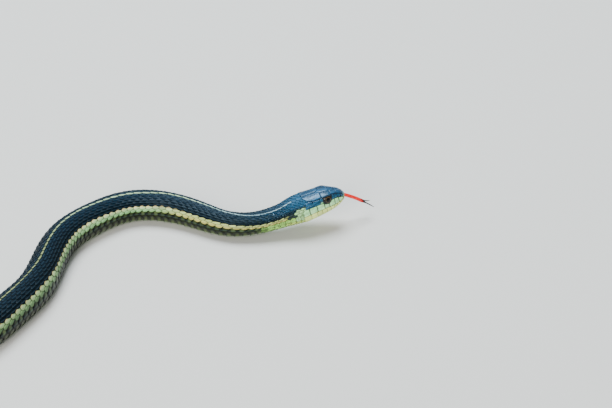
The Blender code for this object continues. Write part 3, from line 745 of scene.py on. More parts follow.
def lay_patch(bm, foot):
    """Unwraps a small solid into a unit square: its top and walls to the left, then its foot."""
    layer = bm.loops.layers.uv.new("OFBake")
    low = [min(v.co[i] for v in bm.verts) for i in (0, 1)]
    span = [max(v.co[i] for v in bm.verts) - low[i] for i in (0, 1)]
    for face in bm.faces:
        underneath = all(vert in foot for vert in face.verts)
        for loop in face.loops:
            x, y = ((loop.vert.co[i] - low[i]) / span[i] - 0.5 for i in (0, 1))
            reach = WALL_REACH if loop.vert in foot else TOP_REACH
            if underneath:
                loop[layer].uv = (FOOT_MIDDLE + FOOT_WIDE * y, 0.5 + FOOT_LONG * x)
            else:
                loop[layer].uv = (TOP_MIDDLE + TOP_WIDE * reach * y, 0.5 + reach * x)


def base_plate(name, alongs, half_widths, acrosses, top, bottom):
    """A small closed plate from a grid: `top` gives its height for each place on it."""
    bm = bmesh.new()
    steps = len(alongs) - 1, len(acrosses) - 1
    bmesh.ops.create_grid(bm, x_segments=steps[0], y_segments=steps[1], size=1.0)
    for vert in bm.verts:
        i, j = (round((vert.co[k] + 1) / 2 * steps[k]) for k in (0, 1))
        vert.co = (alongs[i], acrosses[j] * half_widths[i], top(alongs[i], acrosses[j]))
    foot = close_below(bm, bottom)
    lay_patch(bm, foot)
    on_foot = np.array([vert in foot for vert in bm.verts], float) * ON_FOOT
    mesh = mesh_from(bm, name)
    x, y, _ = points_of(mesh).T
    to_side = np.abs(y) / np.interp(x, alongs, half_widths)
    to_tip = np.interp(x, (alongs[-3], alongs[-1]), (0.0, 1.0))
    store(mesh, "place", x, y, np.maximum(on_foot, np.maximum(to_side, to_tip)))
    print(name, len(mesh.polygons), "faces")
    return mesh


def scale_top(along, across):
    """The height of a scale's top: it rises to the rear, is domed, and has no keel yet."""
    rise = (along - SCALE_ALONG[0]) / (SCALE_ALONG[-1] - SCALE_ALONG[0])
    return ROOT_DEPTH * (1 - rise) - SCALE_DOME * across**2


scale_base = base_plate(
    "scale_base", SCALE_ALONG, SCALE_WIDTH, SCALE_ACROSS, scale_top, RIM_BOTTOM
)

# %% [markdown]
# ## Laying the scales
# An Array modifier makes as many copies of the base as there are scales, all in one place. Then
# the points of all copies are moved at once: each scale has a row and a number in its row, its
# length follows the step of the lattice and its width follows the row, so that scales close up
# on the inside of a bend and spread on the outside, just as they do on a living snake.

# %% Copies from an array
PATCH = 0.003  # the size of a scale's patch on the baking map
MAP_EDGE = 0.02  # the margin that is left free round the map
DEEPEST = 1.6  # how many times the coat's depth a point may lie down


def many_copies(base, count, name):
    """A mesh that holds the base many times over, copy after copy."""
    holder = add_object(name, base)
    array = holder.modifiers.new("copies", "ARRAY")
    array.use_relative_offset = False
    array.use_constant_offset = True
    array.constant_offset_displace = (0.0, 0.0, 0.0)
    array.count = count
    made = evaluated_mesh(holder)
    made.name = name
    bpy.data.objects.remove(holder)
    return made


def unrolled(values):
    """Places on the baking map, inside its margins, over a stretch of the body."""
    low, high = values.min() - 1, values.max() + 1
    return MAP_EDGE + (1 - 2 * MAP_EDGE) * (values - low) / (high - low)


def place_patches(mesh, base, across_map, along_map):
    """Moves each copy's patch to its scale's place on the unrolled skin."""
    layer = mesh.uv_layers["OFBake"].data
    uv = np.empty(len(layer) * 2, np.float32)
    layer.foreach_get("uv", uv)
    uv = uv.reshape(len(across_map), len(base.loops), 2)
    spot = np.stack([along_map, across_map], -1)[:, None, :]
    layer.foreach_set("uv", (spot + (uv - 0.5) * PATCH).astype(np.float32).ravel())


def spots(back, degrees, raised, middle, pattern_degrees, tones, turn):
    """Where the points of some copies go, with one mark and one turn on the map for each copy."""
    return {
        "back": back,
        "degrees": degrees,
        "raised": raised,
        "mark": np.stack(np.broadcast_arrays(middle, pattern_degrees, tones), -1),
        "turn": np.full(len(tones), turn),
    }


def join_spots(groups, low=-1.0, high=1000.0):
    """One set of spots from many, keeping those between two distances back."""
    joined = {key: np.concatenate([group[key] for group in groups]) for key in groups[0]}
    chosen = (joined["mark"][:, 0] >= low) & (joined["mark"][:, 0] < high)
    return {key: value[chosen] for key, value in joined.items()}


def cover(name, base, laid, material):
    """Lays one copy of the base on each spot."""
    mark = laid["mark"]
    mesh = many_copies(base, len(mark), name)
    set_points(mesh, on_snake(laid["back"], laid["degrees"], laid["raised"]).reshape(-1, 3))
    store(mesh, "mark", *np.repeat(mark, len(base.vertices), axis=0).T)
    place_patches(mesh, base, unrolled(laid["turn"]), unrolled(mark[:, 0]))
    return finish_piece(name, mesh, material)


def random_tones(spread, count=None):
    """How light each scale is, around a middle of 0.5."""
    return np.clip(0.5 + spread * chance.standard_normal(count), 0.0, 1.0)


# %% [markdown]
# ## The rows of the back
# A material for the back's scales comes first. It takes the shared markings, gives the flank
# stripe's scales their warm upper edges and the olive row its pale bars, speckles the neck, paints
# a highlight on each keel, and leaves the rest of the gloss to the shader. On the flank the
# markings are read a few degrees further round across each scale, so that the stripe's edge is
# stepped by the scales as on the animal. Then each of the nineteen rows is laid from behind the
# head plates to the tail.

# %% The material of the back's scales
PALE_BAR = tint(118, 136, 84)
FLECK = tint(28, 44, 20)
SLANT_ACROSS, SLANT_ALONG = 9.5, 4.5  # degrees that the flank's markings shift over a scale
LINE_CLOSES = 9.0  # degrees that the back stripe's scales shift, from their keel to their edge
FLECKS_PER_METRE = 2300.0


def fleck(colour, mark_back):
    """Dark flecks over the cheek and the green of the neck."""
    grains = noise(object_place(colour.id_data), FLECKS_PER_METRE, 2.0)
    specks = between(grains, 0.5, 0.64)
    return over(colour, FLECK, specks, stretch(mark_back, 19.0, 26.0, 36.0, 48.0), 0.7)


def dress_scales(made, colour, place, tone, keel, edge, relief, rough, gloss_tint, shine):
    """Adds the detail inside one scale to a coat's colour, and finishes its material."""
    inner = use_group(detail, Color=colour, Place=place, Tone=tone, Keel=keel, Edge=edge)
    return dress(
        made, Base_Color=inner["Color"], Normal=bump(inner["Height"], *relief),
        Roughness=between(inner["Height"], 0.3, 0.7, *rough),
        Specular_Tint=gloss_tint, Specular_IOR_Level=shine,
    )


def make_scale_material(name, keel, edge, shine):
    made, tree = new_material(name)
    _, (mark_back, mark_angle, mark_tone) = attribute(tree, "mark")
    place, (along, across, _) = attribute(tree, "place")
    slant = maths("SUBTRACT", times(across, SLANT_ACROSS), times(along, SLANT_ALONG))
    on_line = between(mark_angle, 4.0, 2.0)
    shift = maths(
        "ADD", times(slant, stretch(mark_angle, 60.0, 62.0, 82.0, 83.0)),
        times(maths("ABSOLUTE", across), on_line, LINE_CLOSES),
    )
    exact = combine(mark_back, maths("ADD", mark_angle, shift), mark_tone)
    colour = use_group(markings, Mark=exact)["Color"]
    bar = times(
        stretch(along, -0.35, -0.1, 0.1, 0.36), stretch(mark_angle, 86.0, 87.0, 100.0, 101.0),
        between(mark_tone, 0.3, 0.75, 0.25, 0.8), between(across, 0.5, -0.2, 0.05, 0.6),
    )
    colour = fleck(over(colour, PALE_BAR, bar), mark_back)
    return dress_scales(
        made, colour, place, mark_tone, keel, edge, relief=(0.35, 0.00006), rough=(0.3, 0.44),
        gloss_tint=(0.6, 0.84, 1.0, 1.0), shine=shine,
    )


# The back's scales: painted keel highlight at 0.75, and rims of dark seam and painted shade at 0.9.
back_material = make_scale_material("scales of the back", 0.75, 0.9, 0.1)

# %% Where rows begin and end
BACK_PIECES = (
    ("scales_neck_forebody", 188.0), ("scales_midbody", 330.0), ("scales_hindbody", VENT),
    ("scales_tail", 598.6),
)
# Where the head's plates end, for each angle down from the crown
ROW_FRONTS = (
    (0.0, 17.7), (9.0, 17.8), (20.0, 16.5), (30.0, 15.9), (38.0, 16.4), (45.0, 17.5),
    (75.0, 18.0), (88.0, 18.8), (104.0, 19.3),
)
ROW_TUCKS = 0.7  # how much of a step a row's first scale may slide under the head's plates
ROW_LAST = 597.5
ROW_GONE = 0.4  # the share of its width at which a row that drops out has its last scale
NECK_GAP = 0.17
NECK_GAP_BACK, NECK_GAP_REACH = 27.0, 13.0
row_front = smooth(ROW_FRONTS, 1)


def neck_gap(back):
    """How much smaller scales are where the neck is stretched and skin shows between them."""
    return 1 - NECK_GAP * np.exp(-(((back - NECK_GAP_BACK) / NECK_GAP_REACH) ** 2))


# %% The keel
KEEL_HIGH = 0.2
KEEL_WIDE = 0.17
KEEL_BY_ROW = (1.0, 1.0, 1.0, 1.0, 1.0, 1.0, 0.95, 0.8, 0.6, 0.25)
base_points = points_of(scale_base)
base_x, base_y, base_z = base_points.T
keel = np.clip(1 - np.abs(base_y / np.interp(base_x, SCALE_ALONG, SCALE_WIDTH)) / KEEL_WIDE, 0, 1)
keel *= 1 - np.isclose(base_z, RIM_BOTTOM)
keel *= np.clip((base_x + 0.6) / 0.5, 0.0, 1.0) * np.clip((0.66 - base_x) / 0.12, 0.35, 1.0)
print("points on the keel:", int((keel > 0).sum()))

# %% The rows of the back
SIZE_VARIES, DRIFTS, TIP_VARIES = 0.05, 0.03, 0.12


def row_spots(row, side):
    """Every scale of one row on one side, as arrays with one line for each scale."""
    counting = count_at + row_phase[row]
    first = math.ceil(np.interp(row_front(true_middle[row]), fine, counting) - ROW_TUCKS)
    numbers = np.arange(first, math.floor(counting[-1]) - 1)
    middle = np.interp(numbers, counting, fine)
    numbers = numbers[(np.interp(middle, fine, keep[row]) > ROW_GONE) & (middle < ROW_LAST)]
    middle = np.interp(numbers, counting, fine)
    count = len(numbers)
    size = 1 + SIZE_VARIES * chance.standard_normal((2, count, 1))
    long, wide = size * neck_gap(middle)[:, None]
    drift = DRIFTS * chance.standard_normal((count, 1))
    tip_lift = 1 + TIP_VARIES * chance.standard_normal((count, 1)) * (base_x > 0)
    back = np.interp(numbers[:, None] + drift + base_x * long, counting, fine)
    pattern = np.interp(back, fine, row_middle[row])
    pattern = pattern + base_y * wide * np.interp(back, fine, widths[row])
    depth = coat_depth(back)
    raised = (base_z + KEEL_HIGH * KEEL_BY_ROW[row] * keel) * depth * tip_lift
    return spots(
        back, lattice_angle(back, side * pattern), np.maximum(raised, -DEEPEST * depth),
        middle, true_middle[row], random_tones(0.17, count), side * true_middle[row],
    )


back_rows = [
    row_spots(row, side) for row in range(len(ROW_WIDTHS)) for side in ((1, -1) if row else (1,))
]
begins = 0.0
for piece_name, ends in BACK_PIECES:
    laid = join_spots(back_rows, begins, ends)
    cover(piece_name, scale_base, laid, back_material)
    begins = ends

# %% [markdown]
# ## Belly plates
# A snake walks on its belly plates. Each is as wide as the belly, overlaps the next like a roof
# tile, and turns up at its ends to meet the lowest row of the back. Under the tail they come in
# pairs. They are too wide for the scale above, so they have a base of their own. Their ends are
# dark with a pale bar, and the rest has the belly's pale colour.
# Their dark ends reach far in from the sides: partly their own colour, partly painted shade.

# %% The base of a belly plate
PLATE_ALONG = (-0.5, -0.1, 0.35, 0.56)
PLATE_WIDTH = (1.0, 1.0, 1.0, 0.97)
PLATE_ACROSS = tuple(np.round(np.linspace(-1.0, 1.0, 13), 4))
PLATE_RISES = 0.95
PLATE_ENDS_DROP = 0.25


def plate_top(along, across):
    """A belly plate rises to the rear and bends down only at its very ends."""
    rise = (along - PLATE_ALONG[0]) / (PLATE_ALONG[-1] - PLATE_ALONG[0])
    return ROOT_DEPTH + PLATE_RISES * rise - PLATE_ENDS_DROP * across**8


plate_base = base_plate(
    "plate_base", PLATE_ALONG, PLATE_WIDTH, PLATE_ACROSS, plate_top, RIM_BOTTOM
)


# %% The material of the belly plates
def make_belly_material():
    made, tree = new_material("belly plates")
    mark, (mark_back, _, mark_tone) = attribute(tree, "mark")
    place, (along, across, _) = attribute(tree, "place")
    aside = maths("ABSOLUTE", across)
    # The ends' dark colour: partly the plates' own, partly painted shade low on the flanks.
    end = between(maths("ADD", aside, times(along, -0.12)), 0.56, 0.7)
    end_colour = blend(between(mark_back, 31.0, 37.0), THROAT, tint(28, 32, 16))
    colour = over(use_group(markings, Mark=mark)["Color"], end_colour, end, 0.96)
    bar = stretch(along, -0.2, 0.05, 0.2, 0.42)
    colour = over(colour, tint(130, 146, 92), bar, end, between(aside, 0.99, 0.88), 0.5)
    colour = over(colour, fleck(colour, mark_back), between(aside, 0.45, 0.7))
    return dress_scales(
        made, colour, place, mark_tone, keel=0.0, edge=0.6, relief=(0.2, 0.00005),
        rough=(0.28, 0.42), gloss_tint=(0.9, 0.97, 1.0, 1.0), shine=0.3,
    )


belly_material = make_belly_material()

# %% Belly plates and tail plates
BELLY_SPANS = ((20.0, 34.0), (25.0, 42.0), (36.0, 80.5), (600.0, 80.5))  # back, half its angle
BELLY_MARK = 140.0  # the angle at which a belly plate reads the markings
PAIR_MIDDLE = 38.75  # degrees from the belly's middle to the middle of a tail plate
belly_span = smooth(BELLY_SPANS, 1)
plate_x, plate_y, plate_z = points_of(plate_base).T


def plate_spots(numbers, phase, side):
    """Plates by number. A side of 0 spans the belly, and 1 or -1 is left or right of a pair."""
    counting = count_at + phase
    back = np.interp(numbers[:, None] + plate_x, counting, fine)
    reach = 0.5 + 0.5 * plate_y if side else plate_y
    middle_turn = 180.0 - PAIR_MIDDLE * abs(side)
    return spots(
        back, (side or 1) * (180.0 - belly_span(back) * reach),
        np.maximum(plate_z, -DEEPEST) * coat_depth(back), np.interp(numbers, counting, fine),
        BELLY_MARK, random_tones(0.1, len(numbers)), (side or 1) * middle_turn,
    )


whole_plates = plate_spots(np.arange(0.0, VENTRALS), 0.0, 0)
cover("belly_plates", plate_base, whole_plates, belly_material)
tail_numbers = np.arange(VENTRALS, math.floor(count_at[-1]) - 1, dtype=float)
pairs = [plate_spots(tail_numbers, phase, side) for phase, side in ((0.0, 1), (0.5, -1))]
cover("tail_plates", plate_base, join_spots(pairs, high=597.0), belly_material)

# %% [markdown]
# ## Throat scales
# Between the chin and the first belly plates the throat has small smooth scales. They are the
# back's base scale without its keel, in rows of their own that run on forward under the jaw.

# %% The throat
# Degrees down from the crown, then where the row begins and ends
THROAT_ROWS = (
    (110.0, 18.9, 34.5), (121.5, 18.2, 30.5), (133.0, 17.2, 28.5), (144.5, 12.6, 27.0),
    (156.0, 12.8, 26.0), (168.0, 14.0, 25.6), (180.0, 13.2, 25.4),
)
THROAT_WIDTH = 12.5
THROAT_DEEPEST = 0.45
throat_material = make_scale_material("scales of the throat", 0.0, 0.85, 0.3)


def throat_spots(index, side):
    """The scales of one row of the throat on one side."""
    degrees, begins, ends = THROAT_ROWS[index]
    counting = count_at + 0.5 * (index + 1)
    first = math.ceil(np.interp(begins, fine, counting) - ROW_TUCKS / 2)
    numbers = np.arange(first, math.floor(np.interp(ends, fine, counting)) + 1)
    middle = np.interp(numbers, counting, fine)
    gap = neck_gap(middle)[:, None]
    back = np.interp(numbers[:, None] + base_x * gap, counting, fine)
    return spots(
        back, side * (degrees + base_y * THROAT_WIDTH * gap),
        np.maximum(base_z * coat_depth(back), -THROAT_DEEPEST),
        middle, degrees, random_tones(0.22, len(numbers)), side * degrees,
    )


throat = [
    throat_spots(i, side)
    for i, (degrees, *_) in enumerate(THROAT_ROWS) for side in ((1, -1) if degrees < 180 else (1,))
]
cover("throat_scales", scale_base, join_spots(throat), throat_material)

# %% [markdown]
# ## Plates of the head
# The head has large plates with names of their own, and they are what tells one kind of snake
# from another. Each is drawn flat by a few corners that neighbours share, as seen from above,
# from the side or from below, and the two at the tip of the snout as seen from the front. A grid
# over it is cut to the plate's sides with bisect_plane, and then twice more a little further in,
# so that the rounded rim has clean edges to follow.

# %% Views of the head
FRONT_REACH = 5.0  # no plate of the snout's tip reaches further back
HALVINGS = 30
NUDGE = 0.02


def degrees_from_above(back, across):
    share = np.minimum(1.0, np.abs(across) / half_width(back)) ** (roundness(back) / 2)
    return np.sign(across) * np.degrees(np.arcsin(share))


def degrees_from_side(back, high):
    top, _, middle, under = levels(back)
    share = np.abs(high - middle) / np.where(high > middle, top - middle, under)
    share = np.clip(share, 0.0, 1.0) ** (roundness(back) / 2)
    return np.degrees(np.arccos(np.sign(high - middle) * share))


def degrees_from_below(back, across):
    over_it = degrees_from_above(back, across)
    return np.where(across < 0, -180.0 - over_it, 180.0 - over_it)


def place_from_front(across, high):
    """Back and angle of what is seen from straight ahead at a spot on the snout."""
    near, far = np.full(len(across), GIRTH[0][0]), np.full(len(across), FRONT_REACH)
    for _ in range(HALVINGS):
        back = (near + far) / 2
        (top, _, middle, under), power = levels(back), roundness(back) / 2
        sideways = (np.abs(across) / half_width(back)) ** power
        upright = np.abs(high - middle) / np.where(high > middle, top - middle, under)
        upright = upright**power
        inside = sideways**2 + upright**2 < 1
        near, far = np.where(inside, near, back), np.where(inside, back, far)
    angle = np.arctan2(np.sign(across) * sideways, np.sign(high - middle) * upright)
    return back, np.degrees(angle)


def on_front(across, high, raised):
    """Points in space over the tip of the snout, raised square to its surface."""
    nudges = ((0.0, 0.0), (NUDGE, 0.0), (-NUDGE, 0.0), (0.0, NUDGE), (0.0, -NUDGE))
    here, left_of, right_of, above, under = (
        place_from_front(across + x, high + y)[0] for x, y in nudges
    )
    slopes = (left_of - right_of) / (2 * NUDGE), (above - under) / (2 * NUDGE)
    out = np.stack([np.ones(len(here)), *slopes], -1)
    out *= (raised / np.linalg.norm(out, axis=-1))[:, None]
    out += np.stack([-here, across, high], -1)
    belly, ahead, left, up = backbone(np.zeros(1))
    return (belly + ahead * out[:, :1] + left * out[:, 1:2] + up * out[:, 2:]) * MM


def across_of(back, degrees):
    return section(back, degrees)[0]


# How a corner's second number is drawn flat, and how a flat place goes back to an angle
VIEWS = {
    "above": (across_of, degrees_from_above),
    "side": (lambda back, high: high, degrees_from_side),
    "below": (across_of, degrees_from_below),
    "front": (lambda below, across: across, None),
}

# %% One plate, flat
PLATE_HIGH = 0.12
PLATE_DOME, DOME_REACH = 0.09, 1.3
PLATE_SEAM = 0.032
PLATE_ROUND = 0.16
PLATE_FOOT = -0.34
CORNER_CUT = 0.05
RIM_CUTS = (0.05, 0.16)
RIM_REACH = 0.3


def cut(bm, place, outward, clear):
    everything = [*bm.verts, *bm.edges, *bm.faces]
    bmesh.ops.bisect_plane(
        bm, geom=everything, dist=1e-4, plane_co=place, plane_no=outward, clear_outer=clear
    )


def plate_grid(flat, cell):
    """A flat grid that covers a plate, in a new bmesh with the layers that a plate needs."""
    low = Vector((min(p.x for p in flat), min(p.y for p in flat), 0.0))
    span = Vector((max(p.x for p in flat), max(p.y for p in flat), 0.0)) - low
    cells_x, cells_y = (max(2, math.ceil(side / cell)) for side in span.xy)
    bm = bmesh.new()
    bm.loops.layers.uv.new("OFBake")
    bm.verts.layers.float.new("to_rim")
    matrix = Matrix.Translation(low + span / 2)
    matrix = matrix @ Matrix.Diagonal((span.x / 2, span.y / 2, 1.0, 1.0))
    bmesh.ops.create_grid(bm, x_segments=cells_x, y_segments=cells_y, size=1.0, matrix=matrix)
    return bm


def head_plate(view, corners, cell=0.4, high=PLATE_HIGH, seam=PLATE_SEAM):
    """A closed plate in flat millimetres: x is back, y is the view's own way, z is raised."""
    flatten = VIEWS[view][0]
    flat = [Vector((back, float(flatten(back, other)), 0.0)) for back, other in corners]
    if sum(a.x * b.y - b.x * a.y for a, b in zip(flat, flat[1:] + flat[:1])) < 0:
        flat.reverse()
    bm = plate_grid(flat, cell)
    sides = []
    for a, b in zip(flat, flat[1:] + flat[:1]):
        along = (b - a).normalized()
        outward = Vector((along.y, -along.x, 0.0))
        sides.append((a - outward * seam, outward))
    corner_cuts = []
    for i, corner in enumerate(flat):
        before, after = sides[i - 1][1], sides[i][1]
        outward = (before + after).normalized()
        sharpness = max(0.5, before.dot(outward))
        inset = seam / sharpness + CORNER_CUT * (1 - before.dot(after))
        corner_cuts.append((corner - outward * inset, outward))
    limits = sides + corner_cuts
    for place, outward in limits:
        cut(bm, place, outward, True)
    for depth in RIM_CUTS:
        for place, outward in sides:
            cut(bm, place - outward * depth, outward, False)
    bmesh.ops.remove_doubles(bm, verts=bm.verts, dist=0.012)
    to_rim = bm.verts.layers.float["to_rim"]
    for vert in bm.verts:
        inside = max(0.0, min((place - vert.co).dot(outward) for place, outward in limits))
        rounding = min(1.0, inside / PLATE_ROUND)
        dome = min(1.0, inside / DOME_REACH)
        vert[to_rim] = 1 - min(1.0, inside / RIM_REACH)
        vert.co.z = high * math.sqrt(1 - (1 - rounding) ** 2) + PLATE_DOME * dome * (2 - dome)
    return bm, close_below(bm, PLATE_FOOT)


# %% One plate, wrapped onto the head
FRONT_DEGREES = 40.0  # down the snout's tip, a millimetre counts as this many degrees
FRONT_LONG, FRONT_AHEAD, FRONT_TURN = 0.55, -0.9, 30.0  # its place on the baking map
HEAD_MAP_LONG = 21.0
CROWN_ON_MAP = 0.35
PLATE_STRIP, FOOT_STRIP = (0.2, 0.75), (0.02, 0.17)  # where each begins on the map, and its width
FOOT_SPREAD = 0.0022


def lay_head_patch(bm, foot, lengthways, turn):
    """Unwraps a plate to its place on the head's map, with its foot in a strip of its own."""
    layer = bm.loops.layers.uv["OFBake"]
    middle = lengthways.mean(), (turn.min() + turn.max()) / 2
    for face in bm.faces:
        underneath = all(vert in foot for vert in face.verts)
        for loop in face.loops:
            i = loop.vert.index
            u, v = (lengthways[i] + 1) / HEAD_MAP_LONG, CROWN_ON_MAP + turn[i] / 360
            if loop.vert in foot:
                u += FOOT_SPREAD * np.sign(lengthways[i] - middle[0])
                v += FOOT_SPREAD * np.sign(turn[i] - middle[1])
            begins, width = FOOT_STRIP if underneath else PLATE_STRIP
            loop[layer].uv = (MAP_EDGE + (1 - 2 * MAP_EDGE) * u, begins + width * v)


def wrap_plate(bm, foot, view, side, tone):
    """Wraps a flat plate onto the head, and returns its mesh with its marks and its unwrap."""
    to_rim = bm.verts.layers.float["to_rim"]
    bm.verts.ensure_lookup_table()
    flat = np.array([vert.co for vert in bm.verts], float)
    rim = np.array([ON_FOOT if vert in foot else vert[to_rim] for vert in bm.verts], float)
    low, high = flat[:, :2].min(axis=0), flat[:, :2].max(axis=0)
    middle = (low + high) / 2
    if view == "front":
        below, across, raised = flat.T
        back = place_from_front(across, -below)[0]
        points = on_front(across, -below, raised)
        degrees = FRONT_DEGREES * (float(crown(0.6)) + below)
        lip = float(mouth_high(0.0))
        lengthways = FRONT_LONG * np.abs(below + lip) + FRONT_AHEAD
        turn = FRONT_TURN * across + (180.0 if -middle[0] < lip else 0.0)
    else:
        lengthways = back = flat[:, 0]
        degrees = side * VIEWS[view][1](back, flat[:, 1])
        turn = degrees % 360.0 if view == "below" else degrees
        points = on_snake(back, degrees, flat[:, 2])
    lay_head_patch(bm, foot, lengthways, turn)
    mesh = mesh_from(bm, "plate")
    set_points(mesh, points)
    store(mesh, "mark", back, np.abs(degrees), tone)
    store(mesh, "place", *((flat[:, :2] - middle) / (high - low) * 2).T, rim)
    return mesh


def head_piece(name, plates, material):
    """Joins the plates of one part of the head, with both sides of each pair."""
    joined = bmesh.new()
    for view, corners, paired, options in plates:
        for side in (1, -1) if paired else (1,):
            bm, foot = head_plate(view, corners, **options)
            part = wrap_plate(bm, foot, view, side, float(random_tones(0.18)))
            joined.from_mesh(part)
            bpy.data.meshes.remove(part)
    return finish_piece(name, mesh_from(joined, name), material, math.radians(60))


def edge(back, degrees):
    """A corner that a plate of the side shares with one of the crown: back and height."""
    return back, float(section(back, degrees)[1])


# %% The corners of the plates
# Seen from above: back from the snout, then degrees down from the crown, on the left
CROWN = {
    "internasal": ((0.6, 0), (0.6, 42), (1.8, 38), (3.1, 34), (3.5, 0)),
    "prefrontal": ((3.5, 0), (3.1, 34), (4.5, 36), (5.45, 38), (5.7, 11), (5.5, 0)),
    "supraocular": ((5.7, 11), (5.45, 38), (6.2, 45), (8.7, 45), (9.7, 40), (9.4, 7)),
    "parietal": (
        (10.6, 0), (9.4, 7), (9.7, 40), (10.7, 43), (12.4, 41.3), (13.6, 39), (15.4, 30),
        (17.0, 7), (16.6, 0),
    ),
}
FRONTAL = ((5.5, 0), (5.7, 11), (9.4, 7), (10.6, 0), (9.4, -7), (5.7, -11))
# Seen from the side: back from the snout, then height
SIDES = {
    "front nasal": ((0.6, 4.35), edge(0.6, 42), edge(1.75, 38), (1.8, 5.0)),
    "rear nasal": ((1.8, 5.0), edge(1.75, 38), edge(3.1, 34), (3.1, 5.62)),
    "loreal": ((3.1, 5.62), edge(3.1, 34), edge(4.5, 36), (4.5, 5.97)),
    "preocular": ((4.5, 5.97), edge(4.5, 36), edge(5.45, 38), (5.5, 6.9), (5.75, 5.97)),
    "upper postocular": ((9.2, 7.75), edge(9.7, 40), edge(10.7, 43), (10.65, 7.35), (9.5, 7.2)),
    "front temporal": (
        (10.6, 6.42), edge(10.7, 43), edge(12.4, 41.3), edge(13.6, 39), (13.7, 6.52),
    ),
    "upper rear temporal": ((13.65, 7.4), edge(13.6, 39), edge(15.0, 32), (16.5, 8.3), (17.0, 7.5)),
    "lower rear temporal": ((13.7, 6.52), (13.65, 7.4), (17.0, 7.5), (17.2, 7.0), (16.9, 6.6)),
}
LOWER_POSTOCULAR = ((9.5, 7.2), (10.65, 7.35), (10.6, 6.42), (9.45, 6.3))
# The upper edges of the upper lip's plates, and the lower ends of the seams in the lower lip
UPPER_LIP = (
    ((0.6, 4.35), (1.8, 5.0), (2.9, 5.55)), ((2.9, 5.55), (4.7, 6.0)),
    ((4.7, 6.0), (5.75, 5.95), (7.2, 5.1)), ((7.2, 5.1), (9.3, 5.8)),
    ((9.3, 5.8), (9.55, 6.3), (12.55, 6.45)), ((12.55, 6.45), (15.8, 6.55)),
    ((15.8, 6.55), (17.5, 6.6), (18.3, 6.0), (18.6, 5.2)),
)
LOWER_LIP = (
    (1.0, 141), (2.3, 141), (3.7, 141), (5.2, 141), (6.8, 141), (8.6, 141), (10.6, 141),
    (12.8, 141), (15.4, 139), (18.4, 134),
)
CHIN = {
    "front chin shield": ((1.0, 180), (1.0, 141), (3.7, 141), (7.8, 141), (8.3, 180)),
    "rear chin shield": ((8.3, 180), (7.8, 141), (12.8, 141), (14.4, 165), (13.0, 180)),
}

# %% The line of the mouth
# Back from the snout, then height
MOUTH = (
    (-0.4, 3.72), (0.0, 3.7), (2.0, 3.5), (5.0, 3.4), (7.2, 3.6), (9.4, 3.82), (13.0, 3.9),
    (17.0, 3.95), (19.6, 3.7), (22.0, 3.3),
)
MOUTH_OPEN = 0.03
mouth_high = smooth(MOUTH, 1)


def lip_edge(back, above):
    """A corner on the line of the mouth, or a little above or below it."""
    return back, float(mouth_high(back)) + above


def front_corners(back, above, turns):
    """Corners of a plate on the snout's tip, seen from the front: minus height, then left."""
    corner = float(degrees_from_side(*lip_edge(back, above)))
    ends = (corner, -corner) if above > 0 else (corner, 360.0 - corner)
    across, high = section(back, np.array([ends[0], *turns, ends[1]], float))
    return [(-float(y), float(x)) for x, y in zip(across, high)]


ROSTRAL = front_corners(0.6, MOUTH_OPEN, (60, 35, 0, -35, -60))
MENTAL = front_corners(0.95, -MOUTH_OPEN, (130, 155, 180, 205, 230))

# %% [markdown]
# ## The finish of the head's plates
# The crown's plates are smooth, glossy and slate blue. The upper lip is pale mint with black
# seams, the lower lip is pale yellow, and the chin is cream. They share a fine mottle, pale streaks
# of painted highlight with painted shade between them, the painted shade of the nostril's pit and,
# like the scales, a dark rim. On the crown, the front plates and the underside of the brow are
# darkened as painted shade.

# %% Materials of the head
NOSTRIL_MM_PER_DEGREE = 0.045
NOSTRIL_PAINTED_SHADE = (0.42, 0.24)  # how far from the pit's middle its black begins and is full
MOTTLE_PER_METRE, FINE_MOTTLE_PER_METRE = 900.0, 5200.0
STREAK_SHAPE = (0.34, 0.15, 1.0)


